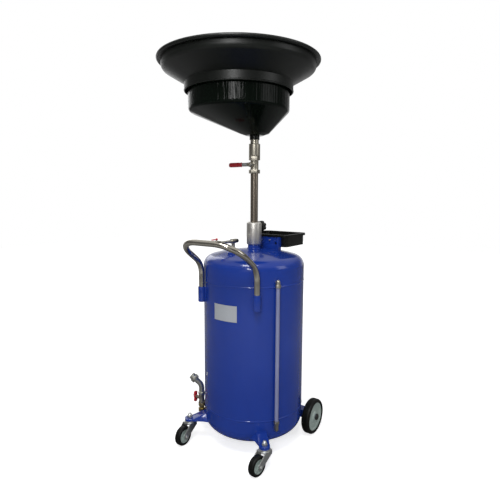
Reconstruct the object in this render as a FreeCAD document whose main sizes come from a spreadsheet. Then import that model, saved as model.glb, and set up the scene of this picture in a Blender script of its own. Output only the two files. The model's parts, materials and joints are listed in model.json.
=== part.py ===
"""Mobile waste-oil drainer: an offset catch bowl on a sliding hollow post over a steel tank on wheels.

Millimetres, +Z up. The origin is on the floor under the middle of the bowl's rim. The tank and
the post share one upright axis, which stands behind and to the right of the origin. The handle
and the two casters are at the front (-Y), the two large wheels and the tool tray at the back.
"""
import FreeCAD, Part
import math
import os
import re
import Sketcher
from FreeCAD import Placement, Rotation, Vector

DOC = FreeCAD.newDocument("waste_oil_drainer")
SHEET = DOC.addObject("Spreadsheet::Sheet", "sizes")

SIZES = {
    # Place of the tank axis, seen from the middle of the bowl.
    "axis_across": 21, "axis_back": 75,
    # Welded tank: rolled shell between two dished heads.
    "tank_radius": 200, "tank_wall": 3, "seam_low": 149, "seam_high": 667,
    "skirt_low": 43, "knuckle_low": 50, "crown_low": 500,
    "skirt_high": 55, "knuckle_high": 40, "crown_high": 650,
    "bead_width": 7, "bead_height": 1.2, "weld_gap": 0.1, "seat_gap": 0.05,
    # Post column: boss, guide tube, lock collar and the chromed tube that slides in them.
    "boss_wall": 6, "boss_rise": 16.6, "boss_depth": 35,
    "guide_gap": 4, "guide_wall": 2, "guide_clear": 86,
    "collar_wall": 14.5, "collar_length": 89, "collar_chamfer": 4, "collar_gap": 0.6,
    "bush_wall": 3, "bush_length": 60, "seal_width": 4, "seal_height": 6, "seal_drop": 6,
    "post_radius": 15, "post_wall": 2, "post_inside": 320, "post_outside": 292,
    "foot_bush_length": 40,
    "slide_fit": 0.06, "screw_radius": 4, "screw_length": 40, "screw_drop": 19, "turn_fit": 0.05,
    "knob_radius": 22, "knob_thick": 15, "knob_hub_radius": 9, "knob_hub": 12, "knob_flute": 6,
    "knob_gap": 1,
    # Ball valve under the bowl.
    "valve_length": 65, "valve_step": 8, "valve_hex": 14, "valve_waist": 16, "socket_depth": 12,
    "valve_port": 9, "valve_ball": 13, "ball_gap": 0.3, "stem_radius": 4, "stem_boss": 9,
    "stem_boss_reach": 33, "stem_reach": 45, "stem_nut_flats": 14, "stem_nut": 4.5,
    "lever_gap": 2, "lever_thick": 3, "lever_width": 14, "lever_length": 93, "lever_heel": 11,
    "sleeve_length": 62, "sleeve_width": 18, "sleeve_thick": 8,
    "union_radius": 22, "union_length": 48, "union_neck": 16.5, "union_neck_length": 16,
    "tail_radius": 13, "tail_wall": 3, "tail_length": 49, "running_gap": 0.3,
    # Bowl: lower bowl with an offset sump, and the loose extension ring that widens it.
    "spigot_radius": 19.4, "spigot_length": 15.4, "spigot_neck": 16, "bowl_wall": 3,
    "sump_radius": 56, "sump_drop": 7.3, "sump_land": 34, "bowl_radius": 189, "cone_rise": 73,
    "bowl_side": 94, "flange_width": 9.5, "bowl_corner": 12,
    "strainer_radius": 55.2, "strainer_thick": 1.5, "bowl_nut_radius": 27, "bowl_nut_height": 5,
    "collar_step": 3.5, "collar_skirt": 32, "ring_bead": 6, "band_radius": 285.5, "ring_cone": 48,
    "band_height": 24, "lip_reach": 16.5, "lip_roll": 6, "ring_corner": 18,
    "ring_foot": 2.6,
    # Push handle: one bent tube in two sockets welded to the shell.
    "handle_radius": 11, "handle_wall": 1.5, "handle_half": 129, "socket_standoff": 13.4,
    "socket_drop": 84, "socket_length": 59, "socket_radius": 14.5, "socket_floor": 4,
    "knee_rise": 65, "grip_forward": 136, "grip_rise": 165, "knee_bend": 81, "grip_bend": 90,
    # Sight gauge on the right-hand side.
    "gauge_bearing": 58.5, "gauge_standoff": 12, "gauge_radius": 7.2, "gauge_wall": 1.6,
    "gauge_low_rise": 2.5, "gauge_high_rise": 0.5, "gauge_nut_flats": 18, "gauge_nut": 11,
    "gauge_body": 8, "gauge_cap": 26, "gauge_foot": 38, "gauge_pipe": 6,
    # Casters under two pressed arms.
    "arm_bearing": 43.3, "stud_standoff": 63, "arm_end": 20, "arm_sink": 18, "arm_foot": 16,
    "arm_wall": 4, "arm_depth": 9, "arm_crest": 18, "root_front": 46, "root_back": 32,
    "root_rise": 22, "waist_front": 29, "waist_back": 26, "waist_rise": 14,
    "stud_radius": 6, "stud_rise": 19, "stud_nut_flats": 19, "stud_nut": 10, "race_radius": 21,
    "race_thick": 5, "race_gap": 0.5, "fork_room": 2.5, "fork_plate": 4, "kingpin_head": 10,
    "kingpin_thick": 3, "caster_radius": 38, "caster_width": 26, "caster_hub_radius": 26,
    "caster_trail": 41, "fork_width": 40, "fork_wall": 3, "fork_eye": 11, "caster_bolt": 4,
    "caster_bolt_length": 50, "left_caster_turn": 0, "right_caster_turn": -8,
    # Rear wheels on welded brackets.
    "wheel_radius": 72, "wheel_width": 36, "wheel_standoff": 2, "wheel_set": 76,
    "wheel_hub_radius": 57, "axle_radius": 9, "bracket_half": 20, "bracket_under": 10,
    "bracket_over": 22, "bracket_wall": 4, "bracket_gap": 6, "cap_radius": 13, "cap_seat": 3,
    "tread_groove": 2, "tread_pitch": 5,
    # Pressure discharge on the left.
    "drain_bearing": -56, "drain_standoff": 14.7, "drain_pipe": 10.5, "drain_drop": 65, "drain_rise": 12,
    "nipple_length": 38, "nipple_flats": 24, "nipple_hex": 15, "nipple_neck": 10,
    "drain_valve_length": 36, "drain_valve_flats": 23, "drain_valve_hex": 8, "drain_ball": 9,
    "drain_port": 6, "drain_stem": 3, "drain_stem_boss": 6.5, "drain_stem_boss_reach": 29,
    "drain_stem_reach": 42, "butterfly_half": 24, "butterfly_width": 18, "butterfly_thick": 6,
    "elbow_radius": 11, "elbow_wall": 2, "elbow_rise": 27, "elbow_bend": 34, "elbow_run": 24,
    "coupling_flats": 30, "coupling_length": 26, "coupling_seat": 7, "coupling_bore": 10,
    # Air inlet on the upper head.
    "air_across": -72, "air_back": -42, "air_rise": 12, "riser_radius": 7, "tee_radius": 9,
    "tee_half": 14, "relief_length": 15, "relief_radius": 8, "air_line_radius": 6,
    "air_line_length": 72, "air_valve_length": 40, "air_valve_flats": 17, "air_stem_top": 14,
    "air_lever_length": 30, "air_lever_width": 11, "air_lever_thick": 3, "air_stem": 2.5,
    "plug_length": 28, "plug_radius": 6.5,
    # Filler boss on the upper head.
    "filler_across": -22, "filler_front": 122, "filler_radius": 15, "filler_rise": 8,
    "filler_bore": 9.5, "filler_plug_drop": 2,
    # Tool tray behind the post.
    "tray_middle": 19, "tray_front": 54, "tray_width": 204, "tray_depth": 170, "tray_drop": 11,
    "tray_height": 49, "tray_rim": 8, "tray_wall": 3, "tray_corner": 24, "tray_lip": 9,
    "holder_width": 140, "holder_plate": 4, "holder_flange": 20, "holder_hole": 5,
    "holder_hole_half": 47, "holder_hole_rise": 14, "tray_bolt_half": 20,
    "bolt_radius": 3, "bolt_flats": 10, "bolt_head": 4, "bolt_length": 12,
}
for row, (name, value) in enumerate(SIZES.items(), 1):
    SHEET.set(f"A{row}", name)
    SHEET.set(f"B{row}", str(value))
    SHEET.setAlias(f"B{row}", name)
DOC.recompute()

# Sizes that follow from the sheet's.
FOLLOWING = {
    "crown_top": "seam_high + skirt_high + crown_high"
                 " - sqrt((crown_high - knuckle_high)^2 - (tank_radius - knuckle_high)^2)",
    "boss_top": "crown_top + boss_rise",
    "post_foot": "boss_top - post_inside",
    "post_head": "boss_top + post_outside",
    "guide_radius": "post_radius + guide_gap",
    "boss_radius": "guide_radius + boss_wall",
    "collar_radius": "post_radius + collar_wall",
    "valve_flats": "2 * post_radius + valve_step",
    "guide_foot": "seam_low + guide_clear",
    "collar_mouth": "post_radius + collar_gap",
    "bush_pocket": "post_radius + bush_wall",
    "seal_groove": "post_radius + seal_width",
    "bowl_flange": "bowl_radius + flange_width",
    "ring_collar": "bowl_flange + collar_step",
    "lip_radius": "band_radius + lip_reach",
    "handle_front": "sqrt((tank_radius + socket_standoff)^2 - handle_half^2)",
    "socket_low": "seam_high - socket_drop",
    "handle_knee": "seam_high + knee_rise",
    "grip_front": "handle_front + grip_forward",
    "grip_height": "seam_high + grip_rise",
    "gauge_reach": "tank_radius + gauge_standoff",
    "gauge_low": "seam_low + gauge_low_rise",
    "gauge_high": "seam_high + gauge_high_rise",
    "stud_reach": "tank_radius + stud_standoff",
    "fork_top": "2 * caster_radius + fork_room + fork_plate",
    "arm_under": "fork_top + race_gap + race_thick",
    "arm_top": "arm_under + arm_depth",
    "stud_top": "arm_top + stud_rise",
    "arm_root": "tank_radius - arm_sink",
    "arm_waist": "tank_radius + arm_foot",
    "wheel_centre": "tank_radius + wheel_standoff",
    "wheel_back": "wheel_radius + wheel_set",
    "bracket_low": "wheel_radius - bracket_under",
    "bracket_high": "wheel_radius + bracket_over",
    "drain_reach": "tank_radius + drain_standoff",
    "drain_low": "seam_low - drain_drop",
    "drain_base": "drain_low + drain_rise",
    "air_height": "boss_top + air_rise",
    "tray_floor": "boss_top - tray_drop",
    "tray_rim_top": "tray_floor + tray_height",
    "holder_hole_height": "tray_floor + holder_hole_rise",
}

UPRIGHT = Rotation()
UPSIDE_DOWN = Rotation(Vector(1, 0, 0), 180)
TO_BACK = Rotation(Vector(1, 0, 0), -90)
TO_FRONT = Rotation(Vector(1, 0, 0), 90)
TO_RIGHT = Rotation(Vector(0, 1, 0), 90)
TO_LEFT = Rotation(Vector(0, 1, 0), -90)
HALF_TURN = Rotation(Vector(0, 0, 1), 180)
PIECES = []


def bound(expression):
    """The expression with every name of the sheet written as sizes.name."""

    def written(word):
        if word[0] in FOLLOWING:
            return f"({bound(FOLLOWING[word[0]])})"
        return "sizes." + word[0] if word[0] in SIZES else word[0]
    return re.sub(r"[a-z_]+", written, str(expression))


def size(expression):
    """The value in millimetres or degrees of an expression in the sheet's names."""
    return float(SHEET.evalExpression(bound(expression)))


def place(item, x="0", y="0", z="0", turn=UPRIGHT, origin=("axis_across", "axis_back")):
    """Stand an item at x, y, z from the tank axis, or from the bowl's middle for origin ("0", "0")."""
    middle = (f"{origin[0]} + {x}", f"{origin[1]} + {y}", z)
    item.Placement = Placement(Vector(*(size(part) for part in middle)), turn)
    for axis, expression in zip("xyz", middle):
        item.setExpression(f"Placement.Base.{axis}", bound(expression))


def place_round(item, bearing, reach, z="0", turn=UPRIGHT):
    """Stand an item on a bearing from the front, positive to the right, with its +X outwards."""
    place(item, f"{reach} * sin({bearing})", f"-{reach} * cos({bearing})", z,
          Rotation(Vector(0, 0, 1), 270 + size(bearing)) * turn)


def piece(item):
    """Keep a finished item as one of the pieces of the drainer."""
    PIECES.append(item)
    return item


def new_body(label):
    return DOC.addObject("PartDesign::Body", label)


def sketch_on(body, plane="XY_Plane", lift="0"):
    """An empty sketch on one of the body's own origin planes, lifted along the plane's normal."""
    sketch = body.newObject("Sketcher::SketchObject", f"{body.Name}_sketch")
    support = next(item for item in body.Origin.OriginFeatures if item.Role == plane)
    sketch.AttachmentSupport = [(support, "")]
    sketch.MapMode = "FlatFace"
    if lift != "0":
        sketch.setExpression("AttachmentOffset.Base.z", bound(lift))
    return sketch


def pin_point(sketch, geometry, end, x, y, links):
    """Tie a point of the sketch to x and y, and note which constraints take an expression."""
    for kind, axis, expression in (("DistanceX", -2, x), ("DistanceY", -1, y)):
        if abs(size(expression)) < 1e-9:
            links.append((Sketcher.Constraint("PointOnObject", geometry, end, axis), None))
        else:
            constraint = Sketcher.Constraint(kind, geometry, end, size(expression))
            links.append((constraint, expression))


def fix(sketch, links):
    """Add the constraints and bind their values to the sheet."""
    first = sketch.ConstraintCount
    sketch.addConstraint([constraint for constraint, _ in links])
    for index, (_, expression) in enumerate(links, first):
        if expression is not None:
            sketch.setExpression(f"Constraints[{index}]", bound(expression))


def outline(sketch, corners):
    """A closed loop through the corners, each (x, y), or (x, y, radius) where an arc arrives.

    A positive radius turns left on the way round the loop and a negative one turns right.
    """
    points = [Vector(size(corner[0]), size(corner[1]), 0) for corner in corners]
    ends = []
    links = []
    for index, corner in enumerate(corners):
        start, end = points[index - 1], points[index]
        if len(corner) == 2:
            ends.append((sketch.addGeometry(Part.LineSegment(start, end)), 1, 2))
            continue
        radius = size(corner[2])
        along = end - start
        left = Vector(-along.y, along.x, 0).normalize()
        side = left if radius > 0 else left.negative()
        middle = (start + end) * 0.5
        centre = middle + side * math.sqrt(max(radius ** 2 - along.Length ** 2 / 4, 0))
        crest = centre - side * abs(radius)
        arc = Part.Arc(start, crest, end) if radius > 0 else Part.Arc(end, crest, start)
        geometry = sketch.addGeometry(arc)
        ends.append((geometry, 1, 2) if radius > 0 else (geometry, 2, 1))
        links.append((Sketcher.Constraint("Radius", geometry, abs(radius)), f"abs({corner[2]})"))
    for index, (geometry, _, finish) in enumerate(ends):
        following = ends[(index + 1) % len(ends)]
        links.append((Sketcher.Constraint("Coincident", geometry, finish, following[0],
                                          following[1]), None))
        pin_point(sketch, geometry, finish, corners[index][0], corners[index][1], links)
    fix(sketch, links)
    return sketch


def circles(sketch, *rings):
    """Circles in the sketch, each (x, y, radius)."""
    for x, y, radius in rings:
        middle = Vector(size(x), size(y), 0)
        geometry = sketch.addGeometry(Part.Circle(middle, Vector(0, 0, 1), size(radius)))
        links = [(Sketcher.Constraint("Radius", geometry, size(radius)), radius)]
        pin_point(sketch, geometry, 3, x, y, links)
        fix(sketch, links)
    return sketch


def hexagon(sketch, flats):
    """A regular hexagon about the sketch's origin."""
    return outline(sketch, [(f"{flats} / sqrt(3) * cos({60 * corner})",
                             f"{flats} / sqrt(3) * sin({60 * corner})") for corner in range(6)])


def box(sketch, left, low, right, high):
    """A rectangle in the sketch."""
    return outline(sketch, [(left, low), (right, low), (right, high), (left, high)])


def soft_box(sketch, left, low, right, high, radius):
    """A rectangle with rounded corners in the sketch."""
    west, south, east, north = (f"({left} + ({radius}))", f"({low} + ({radius}))",
                                f"({right} - ({radius}))", f"({high} - ({radius}))")
    return outline(sketch, [(west, low, f"({radius})"), (east, low), (right, south, f"({radius})"),
                            (right, north), (east, high, f"({radius})"), (west, high),
                            (left, north, f"({radius})"), (left, south)])


def revolve(sketch, body, kind="PartDesign::Revolution"):
    """Turn a sketch about its own upright axis."""
    feature = body.newObject(kind, f"{body.Name}_turn")
    feature.Profile = sketch
    feature.ReferenceAxis = (sketch, ["V_Axis"])
    feature.Angle = 360
    return feature


def turned(label, corners):
    """A body turned about its Z axis from corners (radius, height)."""
    body = new_body(label)
    revolve(outline(sketch_on(body, "XZ_Plane"), corners), body)
    return body


def pad(body, sketch, length, both=False, reverse=False):
    """Extrude a sketch into the body."""
    feature = body.newObject("PartDesign::Pad", f"{body.Name}_pad")
    feature.Profile = sketch
    feature.setExpression("Length", bound(length))
    feature.SideType = "Symmetric" if both else "One side"
    feature.Reversed = reverse
    return feature


def pocket(body, sketch, length, both=False, reverse=False):
    """Cut a sketch out of the body."""
    feature = body.newObject("PartDesign::Pocket", f"{body.Name}_pocket")
    feature.Profile = sketch
    feature.setExpression("Length", bound(length))
    feature.SideType = "Symmetric" if both else "One side"
    feature.Reversed = reverse
    return feature


def polar(body, feature, count):
    """Repeat a feature round the body's Z axis."""
    pattern = body.newObject("PartDesign::PolarPattern", f"{body.Name}_pattern")
    pattern.Originals = [feature]
    pattern.Axis = (next(item for item in body.Origin.OriginFeatures if item.Role == "Z_Axis"), [""])
    pattern.Angle = 360
    pattern.Occurrences = count
    body.Tip = pattern
    return pattern


def dress(body, kind, radius, chosen):
    """Fillet or chamfer the edges of the body for which chosen(edge) is true."""
    DOC.recompute()
    tip = body.Tip
    names = [f"Edge{number}" for number, edge in enumerate(tip.Shape.Edges, 1) if chosen(edge)]
    feature = body.newObject(f"PartDesign::{kind}", f"{body.Name}_{kind.lower()}")
    feature.Base = (tip, names)
    feature.setExpression("Radius" if kind == "Fillet" else "Size", bound(radius))
    return feature


def ring_edge(*rings):
    """True for a circular edge of one of the given radii and heights, in the body's own frame."""
    wanted = [(size(radius), size(height)) for radius, height in rings]

    def chosen(edge):
        curve = edge.Curve
        return isinstance(curve, Part.Circle) and any(
            abs(curve.Radius - radius) < 0.01 and abs(curve.Center.z - height) < 0.01
            for radius, height in wanted)
    return chosen


def cut_by(label, base, *tools):
    """The base less the tools, as one piece."""
    result = base
    for number, tool in enumerate(tools):
        cut = DOC.addObject("Part::Cut", label if tool is tools[-1] else f"{label}_cut{number}")
        cut.Base = result
        cut.Tool = tool
        result = cut
    return result


def together(label, items):
    """One piece that holds several like solids, each an item of its own in the document."""
    item = DOC.addObject("Part::Compound", label)
    item.Links = items
    return piece(item)


def bent_wire(points, radii):
    """Straight runs through the points, joined by tangent arcs of the given radii."""
    edges = []
    start = points[0]
    for before, corner, after, radius in zip(points, points[1:], points[2:], radii):
        back = (before - corner).normalize()
        ahead = (after - corner).normalize()
        half = back.getAngle(ahead) / 2
        reach = radius / math.tan(half)
        first = corner + back * reach
        last = corner + ahead * reach
        inward = (back + ahead).normalize()
        crest = corner + inward * (radius / math.sin(half) - radius)
        edges.append(Part.LineSegment(start, first).toShape())
        edges.append(Part.Arc(first, crest, last).toShape())
        start = last
    edges.append(Part.LineSegment(start, points[-1]).toShape())
    return Part.Wire(edges)


def bent_tube(label, points, radii, outside, wall):
    """A hollow tube along straight runs and tangent arcs."""
    wire = bent_wire(points, radii)
    direction = points[1] - points[0]
    skins = []
    for radius in (outside, outside - wall):
        hoop = Part.Wire(Part.makeCircle(radius, points[0], direction))
        skins.append(wire.makePipeShell([hoop], True, False))
    item = DOC.addObject("Part::Feature", label)
    item.Shape = skins[0].cut(skins[1])
    return item


# ---------------------------------------------------------------- tank

def head_curve(end, radius=None, inset="0"):
    """Points of a dished head above its seam: top of the skirt, knuckle end and crown centre."""
    skirt, knuckle, crown = f"skirt_{end}", f"knuckle_{end}", f"crown_{end}"
    middle = f"(tank_radius - {knuckle})"
    reach = f"({crown} - {knuckle})"
    centre = f"({skirt} - sqrt({reach}^2 - {middle}^2))"
    sphere = f"({crown} - {inset})"
    if radius is not None:
        return f"({centre} + sqrt({sphere}^2 - ({radius})^2))"
    return (f"{sphere} * {middle} / {reach}", f"{centre} + {sphere} * ({skirt} - {centre}) / {reach}")


def head_outside(end, hole, grow="0"):
    """The outer outline of a head from its seam to the hole, grown by an allowance."""
    knuckle_end = head_curve(end, inset=f"(0 - {grow})")
    return [(f"tank_radius + {grow}", "0"), (f"tank_radius + {grow}", f"skirt_{end}"),
            (*knuckle_end, f"knuckle_{end} + {grow}"),
            (hole, head_curve(end, hole, f"(0 - {grow})"), f"crown_{end} + {grow}")]


def dished_head(label, end, hole):
    """A pressed torispherical head, seam at z = 0 and crown upwards."""
    knuckle_end = head_curve(end, inset="tank_wall")
    return turned(label, head_outside(end, hole) + [
        (hole, head_curve(end, hole, "tank_wall")),
        (*knuckle_end, f"-(crown_{end} - tank_wall)"),
        ("tank_radius - tank_wall", f"skirt_{end}", f"-(knuckle_{end} - tank_wall)"),
        ("tank_radius - tank_wall", "0")])


def head_top(radius):
    """Height of the upper head's outer face above the floor at a distance from its axis."""
    return f"(seam_high + {head_curve('high', radius)})"


BEAD = "(bead_width^2 / 4 + bead_height^2) / (2 * bead_height)"
SHELL = "(seam_high - seam_low)"
shell = piece(turned("tank_shell", [
    ("tank_radius - tank_wall", "0"), ("tank_radius", "0"), ("tank_radius", "bead_width", BEAD),
    ("tank_radius", f"{SHELL} - bead_width"), ("tank_radius", SHELL, BEAD),
    ("tank_radius - tank_wall", SHELL)]))
place(shell, z="seam_low")

upper_blank = dished_head("upper_blank", "high", "boss_radius + weld_gap")
place(upper_blank, z="seam_high")
lower_head = piece(dished_head("lower_head", "low", "0"))
place(lower_head, z="seam_low", turn=UPSIDE_DOWN)

# The outside of the whole tank, grown by the seat gap, trims what is welded to it.
low_end = [(radius, f"-({height})", *arc)
           for radius, height, *arc in head_outside("low", "0", "seat_gap")]
high_end = [(radius, f"{SHELL} + {height}", *arc)
            for radius, height, *arc in head_outside("high", "0", "seat_gap")]
envelope = turned("tank_envelope", [
    low_end[3][:2], (*low_end[2][:2], low_end[3][2]), (*low_end[1], low_end[2][2]), *high_end[1:]])
place(envelope, z="seam_low")

# ---------------------------------------------------------------- post column

boss = piece(turned("post_boss", [
    ("guide_radius + weld_gap", "-boss_depth"), ("boss_radius", "-boss_depth"),
    ("boss_radius", "-2"), ("boss_radius - 2", "0"), ("guide_radius + weld_gap", "0")]))
place(boss, z="boss_top")

guide = piece(turned("guide_tube", [
    ("guide_radius - guide_wall", "guide_foot"), ("guide_radius", "guide_foot"),
    ("guide_radius", "boss_top - 1"), ("guide_radius - guide_wall", "boss_top - 1")]))
place(guide)

collar = turned("lock_collar", [
    ("bush_pocket", "0"), ("collar_radius - collar_chamfer", "0"), ("collar_radius", "collar_chamfer"),
    ("collar_radius", "collar_length - collar_chamfer"),
    ("collar_radius - collar_chamfer", "collar_length"), ("collar_mouth", "collar_length"),
    ("collar_mouth", "collar_length - seal_drop"), ("seal_groove", "collar_length - seal_drop"),
    ("seal_groove", "collar_length - seal_drop - seal_height"),
    ("collar_mouth", "collar_length - seal_drop - seal_height"),
    ("collar_mouth", "bush_length + weld_gap"), ("bush_pocket", "bush_length + weld_gap")])
pocket(collar, circles(sketch_on(collar, "XZ_Plane"),
                       ("0", "collar_length - screw_drop", "screw_radius + turn_fit")),
       "collar_radius + 1")
place(piece(collar), z="boss_top")

gland_bush = piece(turned("gland_bush", [
    ("post_radius + slide_fit", "0"), ("bush_pocket - weld_gap", "0"),
    ("bush_pocket - weld_gap", "bush_length"), ("post_radius + slide_fit", "bush_length")]))
place(gland_bush, z="boss_top")
wiper = piece(turned("wiper_seal", [
    ("post_radius + slide_fit", "weld_gap"), ("seal_groove - weld_gap", "weld_gap"),
    ("seal_groove - weld_gap", "seal_height - weld_gap"),
    ("post_radius + slide_fit", "seal_height - weld_gap")]))
place(wiper, z="boss_top + collar_length - seal_drop - seal_height")

# Lock screw through the back of the collar, with its fluted knob.
SCREW_HEIGHT = "boss_top + collar_length - screw_drop"
lock_screw = piece(turned("lock_screw", [
    ("0", "0"), ("screw_radius - 1", "0"), ("screw_radius", "1"), ("screw_radius", "screw_length"),
    ("0", "screw_length")]))
place(lock_screw, y="post_radius + running_gap", z=SCREW_HEIGHT, turn=TO_BACK)

KNOB_BORE = "post_radius + screw_length - collar_radius - knob_gap + 3 * running_gap"
knob = turned("lock_knob", [
    ("screw_radius + turn_fit", "0"), ("knob_hub_radius", "0"), ("knob_hub_radius", "knob_hub"),
    ("knob_radius", "knob_hub + 1"), ("knob_radius", "knob_hub + knob_thick"),
    ("0", "knob_hub + knob_thick + 1"), ("0", KNOB_BORE), ("screw_radius + turn_fit", KNOB_BORE)])
flute = pocket(knob, circles(sketch_on(knob, "XY_Plane", "knob_hub"),
                             ("knob_radius + knob_flute / 2", "0", "knob_flute")),
               "knob_thick + 2", reverse=True)
polar(knob, flute, 7)
place(piece(knob), y="collar_radius + knob_gap", z=SCREW_HEIGHT, turn=TO_BACK)

post = piece(turned("post_tube", [
    ("post_radius - post_wall", "post_foot"), ("post_radius", "post_foot"),
    ("post_radius", "post_head"), ("post_radius - post_wall", "post_head")]))
place(post)
foot_bush = piece(turned("post_foot_bush", [
    ("post_radius + turn_fit", "1"), ("guide_radius - guide_wall - slide_fit", "1"),
    ("guide_radius - guide_wall - slide_fit", "foot_bush_length"),
    ("post_radius + turn_fit", "foot_bush_length")]))
place(foot_bush, z="post_foot")

# ---------------------------------------------------------------- ball valve on the post

VALVE_FOOT = "post_head - socket_depth"
UNION_FOOT = f"{VALVE_FOOT} + valve_length"


def ball_valve(label, length, flats, hex_length, waist, ball, port, stem, boss_radius, boss_reach):
    """An upright valve body, stem boss along +X, with a round seat for the ball."""
    body = turned(label, [
        ("0", "0.5"), (waist, "0.5"), (waist, f"{length} - 0.5"), ("0", f"{length} - 0.5")])
    pad(body, hexagon(sketch_on(body), flats), hex_length)
    pad(body, hexagon(sketch_on(body, "XY_Plane", f"{length} - {hex_length}"), flats), hex_length)
    pad(body, circles(sketch_on(body, "YZ_Plane"), ("0", f"{length} / 2", boss_radius)), boss_reach)
    pocket(body, circles(sketch_on(body), ("0", "0", port)), length, reverse=True)
    seat = f"({ball} + ball_gap)"
    revolve(outline(sketch_on(body, "XZ_Plane"), [
        ("0", f"{length} / 2 - {seat}"), (seat, f"{length} / 2", seat),
        ("0", f"{length} / 2 + {seat}", seat)]), body, "PartDesign::Groove")
    pocket(body, circles(sketch_on(body, "YZ_Plane"), ("0", f"{length} / 2", f"{stem} + turn_fit")),
           f"{boss_reach} + 1", reverse=True)
    return body


def valve_ball(label, ball, port, stem, stem_reach, nut_flats, nut, nut_at, bore_plane):
    """A ball with its stem along +X, the nut that holds its lever, and a bore across bore_plane."""
    body = new_body(label)
    revolve(outline(sketch_on(body, "XZ_Plane"), [
        ("0", f"-{ball}"), (ball, "0", ball), ("0", ball, ball)]), body)
    pad(body, circles(sketch_on(body, "YZ_Plane"), ("0", "0", stem)), stem_reach)
    pad(body, hexagon(sketch_on(body, "YZ_Plane", nut_at), nut_flats), nut)
    pocket(body, circles(sketch_on(body, bore_plane), ("0", "0", port)), f"2 * {ball} + 2", both=True)
    return body


top_valve = ball_valve("top_valve_body", "valve_length", "valve_flats", "valve_hex", "valve_waist",
                       "valve_ball", "valve_port", "stem_radius", "stem_boss", "stem_boss_reach")
pocket(top_valve, circles(sketch_on(top_valve), ("0", "0", "post_radius + weld_gap")),
       "socket_depth", reverse=True)
FORWARD = Rotation(Vector(0, 0, 1), -90)
place(piece(top_valve), z=VALVE_FOOT, turn=FORWARD)

LEVER_AT = "(stem_boss_reach + lever_gap)"
VALVE_MIDDLE = f"{VALVE_FOOT} + valve_length / 2"
top_ball = piece(valve_ball("top_valve_ball", "valve_ball", "valve_port", "stem_radius", "stem_reach",
                            "stem_nut_flats", "stem_nut",
                            f"{LEVER_AT} + lever_thick + seat_gap", "XZ_Plane"))
place(top_ball, z=VALVE_MIDDLE, turn=FORWARD)

# The lever lies across the front of the valve, in the plane square to its stem.
lever = new_body("top_valve_lever")
pad(lever, outline(sketch_on(lever, "XY_Plane"), [
    ("-lever_length", "-lever_width / 2"), ("0", "-lever_width / 2"),
    ("lever_heel", "0", "lever_heel"), ("0", "lever_width / 2", "lever_heel"),
    ("-lever_length", "lever_width / 2")]), "lever_thick")
pocket(lever, circles(sketch_on(lever), ("0", "0", "stem_radius + turn_fit")), "lever_thick",
       reverse=True)
place(piece(lever), y=f"-{LEVER_AT}", z=VALVE_MIDDLE, turn=TO_FRONT)

sleeve = new_body("lever_sleeve")
pad(sleeve, soft_box(sketch_on(sleeve, "YZ_Plane"), "-sleeve_width / 2", "-sleeve_thick / 2",
                     "sleeve_width / 2", "sleeve_thick / 2", "sleeve_thick * 0.45"),
    "sleeve_length", reverse=True)
pocket(sleeve, box(sketch_on(sleeve, "YZ_Plane"), "-lever_width / 2 - turn_fit",
                   "-lever_thick / 2 - turn_fit", "lever_width / 2 + turn_fit",
                   "lever_thick / 2 + turn_fit"),
       "sleeve_length - 3")
place(piece(sleeve), x="-lever_length - 3 + sleeve_length", y=f"-({LEVER_AT} + lever_thick / 2)",
      z=VALVE_MIDDLE, turn=TO_FRONT)

union = piece(turned("swivel_union", [
    ("valve_port", "0"), ("union_radius - 1", "0"), ("union_radius", "1"),
    ("union_radius", "union_length - 1"), ("union_radius - 1", "union_length"),
    ("union_neck", "union_length"), ("union_neck", "union_length + union_neck_length"),
    ("tail_radius", "union_length + union_neck_length"),
    ("tail_radius", "union_length + union_neck_length - tail_length - running_gap"),
    ("valve_port", "union_length + union_neck_length - tail_length - running_gap")]))
place(union, z=UNION_FOOT)

# ---------------------------------------------------------------- bowl

SPIGOT_FOOT = f"({UNION_FOOT} + union_length + union_neck_length + running_gap)"
LAND = f"({SPIGOT_FOOT} + spigot_length + weld_gap)"
SUMP = f"({LAND} + sump_drop)"
CORNER = f"({SUMP} + cone_rise)"
FLANGE = f"({CORNER} + bowl_side)"
BOWL = ("0", "0")

spigot = piece(turned("bowl_spigot", [
    ("tail_radius - tail_wall", "-tail_length"), ("tail_radius - slide_fit", "-tail_length"),
    ("tail_radius - slide_fit", "0"), ("spigot_radius", "0"), ("spigot_radius", "spigot_length"),
    ("spigot_neck", "spigot_length"),
    ("spigot_neck", "spigot_length + bowl_wall + bowl_nut_height + 1"),
    ("tail_radius - tail_wall", "spigot_length + bowl_wall + bowl_nut_height + 1")]))
place(spigot, z=SPIGOT_FOOT)
bowl_nut = new_body("bowl_nut")
pad(bowl_nut, circles(sketch_on(bowl_nut), ("0", "0", "bowl_nut_radius"),
                      ("0", "0", "spigot_neck + turn_fit")), "bowl_nut_height")
notch = pocket(bowl_nut, circles(sketch_on(bowl_nut), ("bowl_nut_radius + 1", "0", "4")),
               "bowl_nut_height", reverse=True)
polar(bowl_nut, notch, 8)
place(piece(bowl_nut), z=f"{LAND} + bowl_wall + weld_gap")


def bowl_skin(body, kind, wide, corner, sump, sump_height, land, land_height):
    """A leaning cone from the bowl's side to the sump, and the shallow cone inside the sump."""
    sections = [
        circles(sketch_on(body, "XY_Plane", corner), ("0", "0", wide)),
        circles(sketch_on(body, "XY_Plane", sump_height), ("axis_across", "axis_back", sump)),
        circles(sketch_on(body, "XY_Plane", land_height), ("axis_across", "axis_back", land))]
    for upper, lower in zip(sections, sections[1:]):
        loft = body.newObject(f"PartDesign::{kind}Loft", f"{body.Name}_loft")
        loft.Profile = upper
        loft.Sections = [lower]
        loft.Ruled = True


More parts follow.
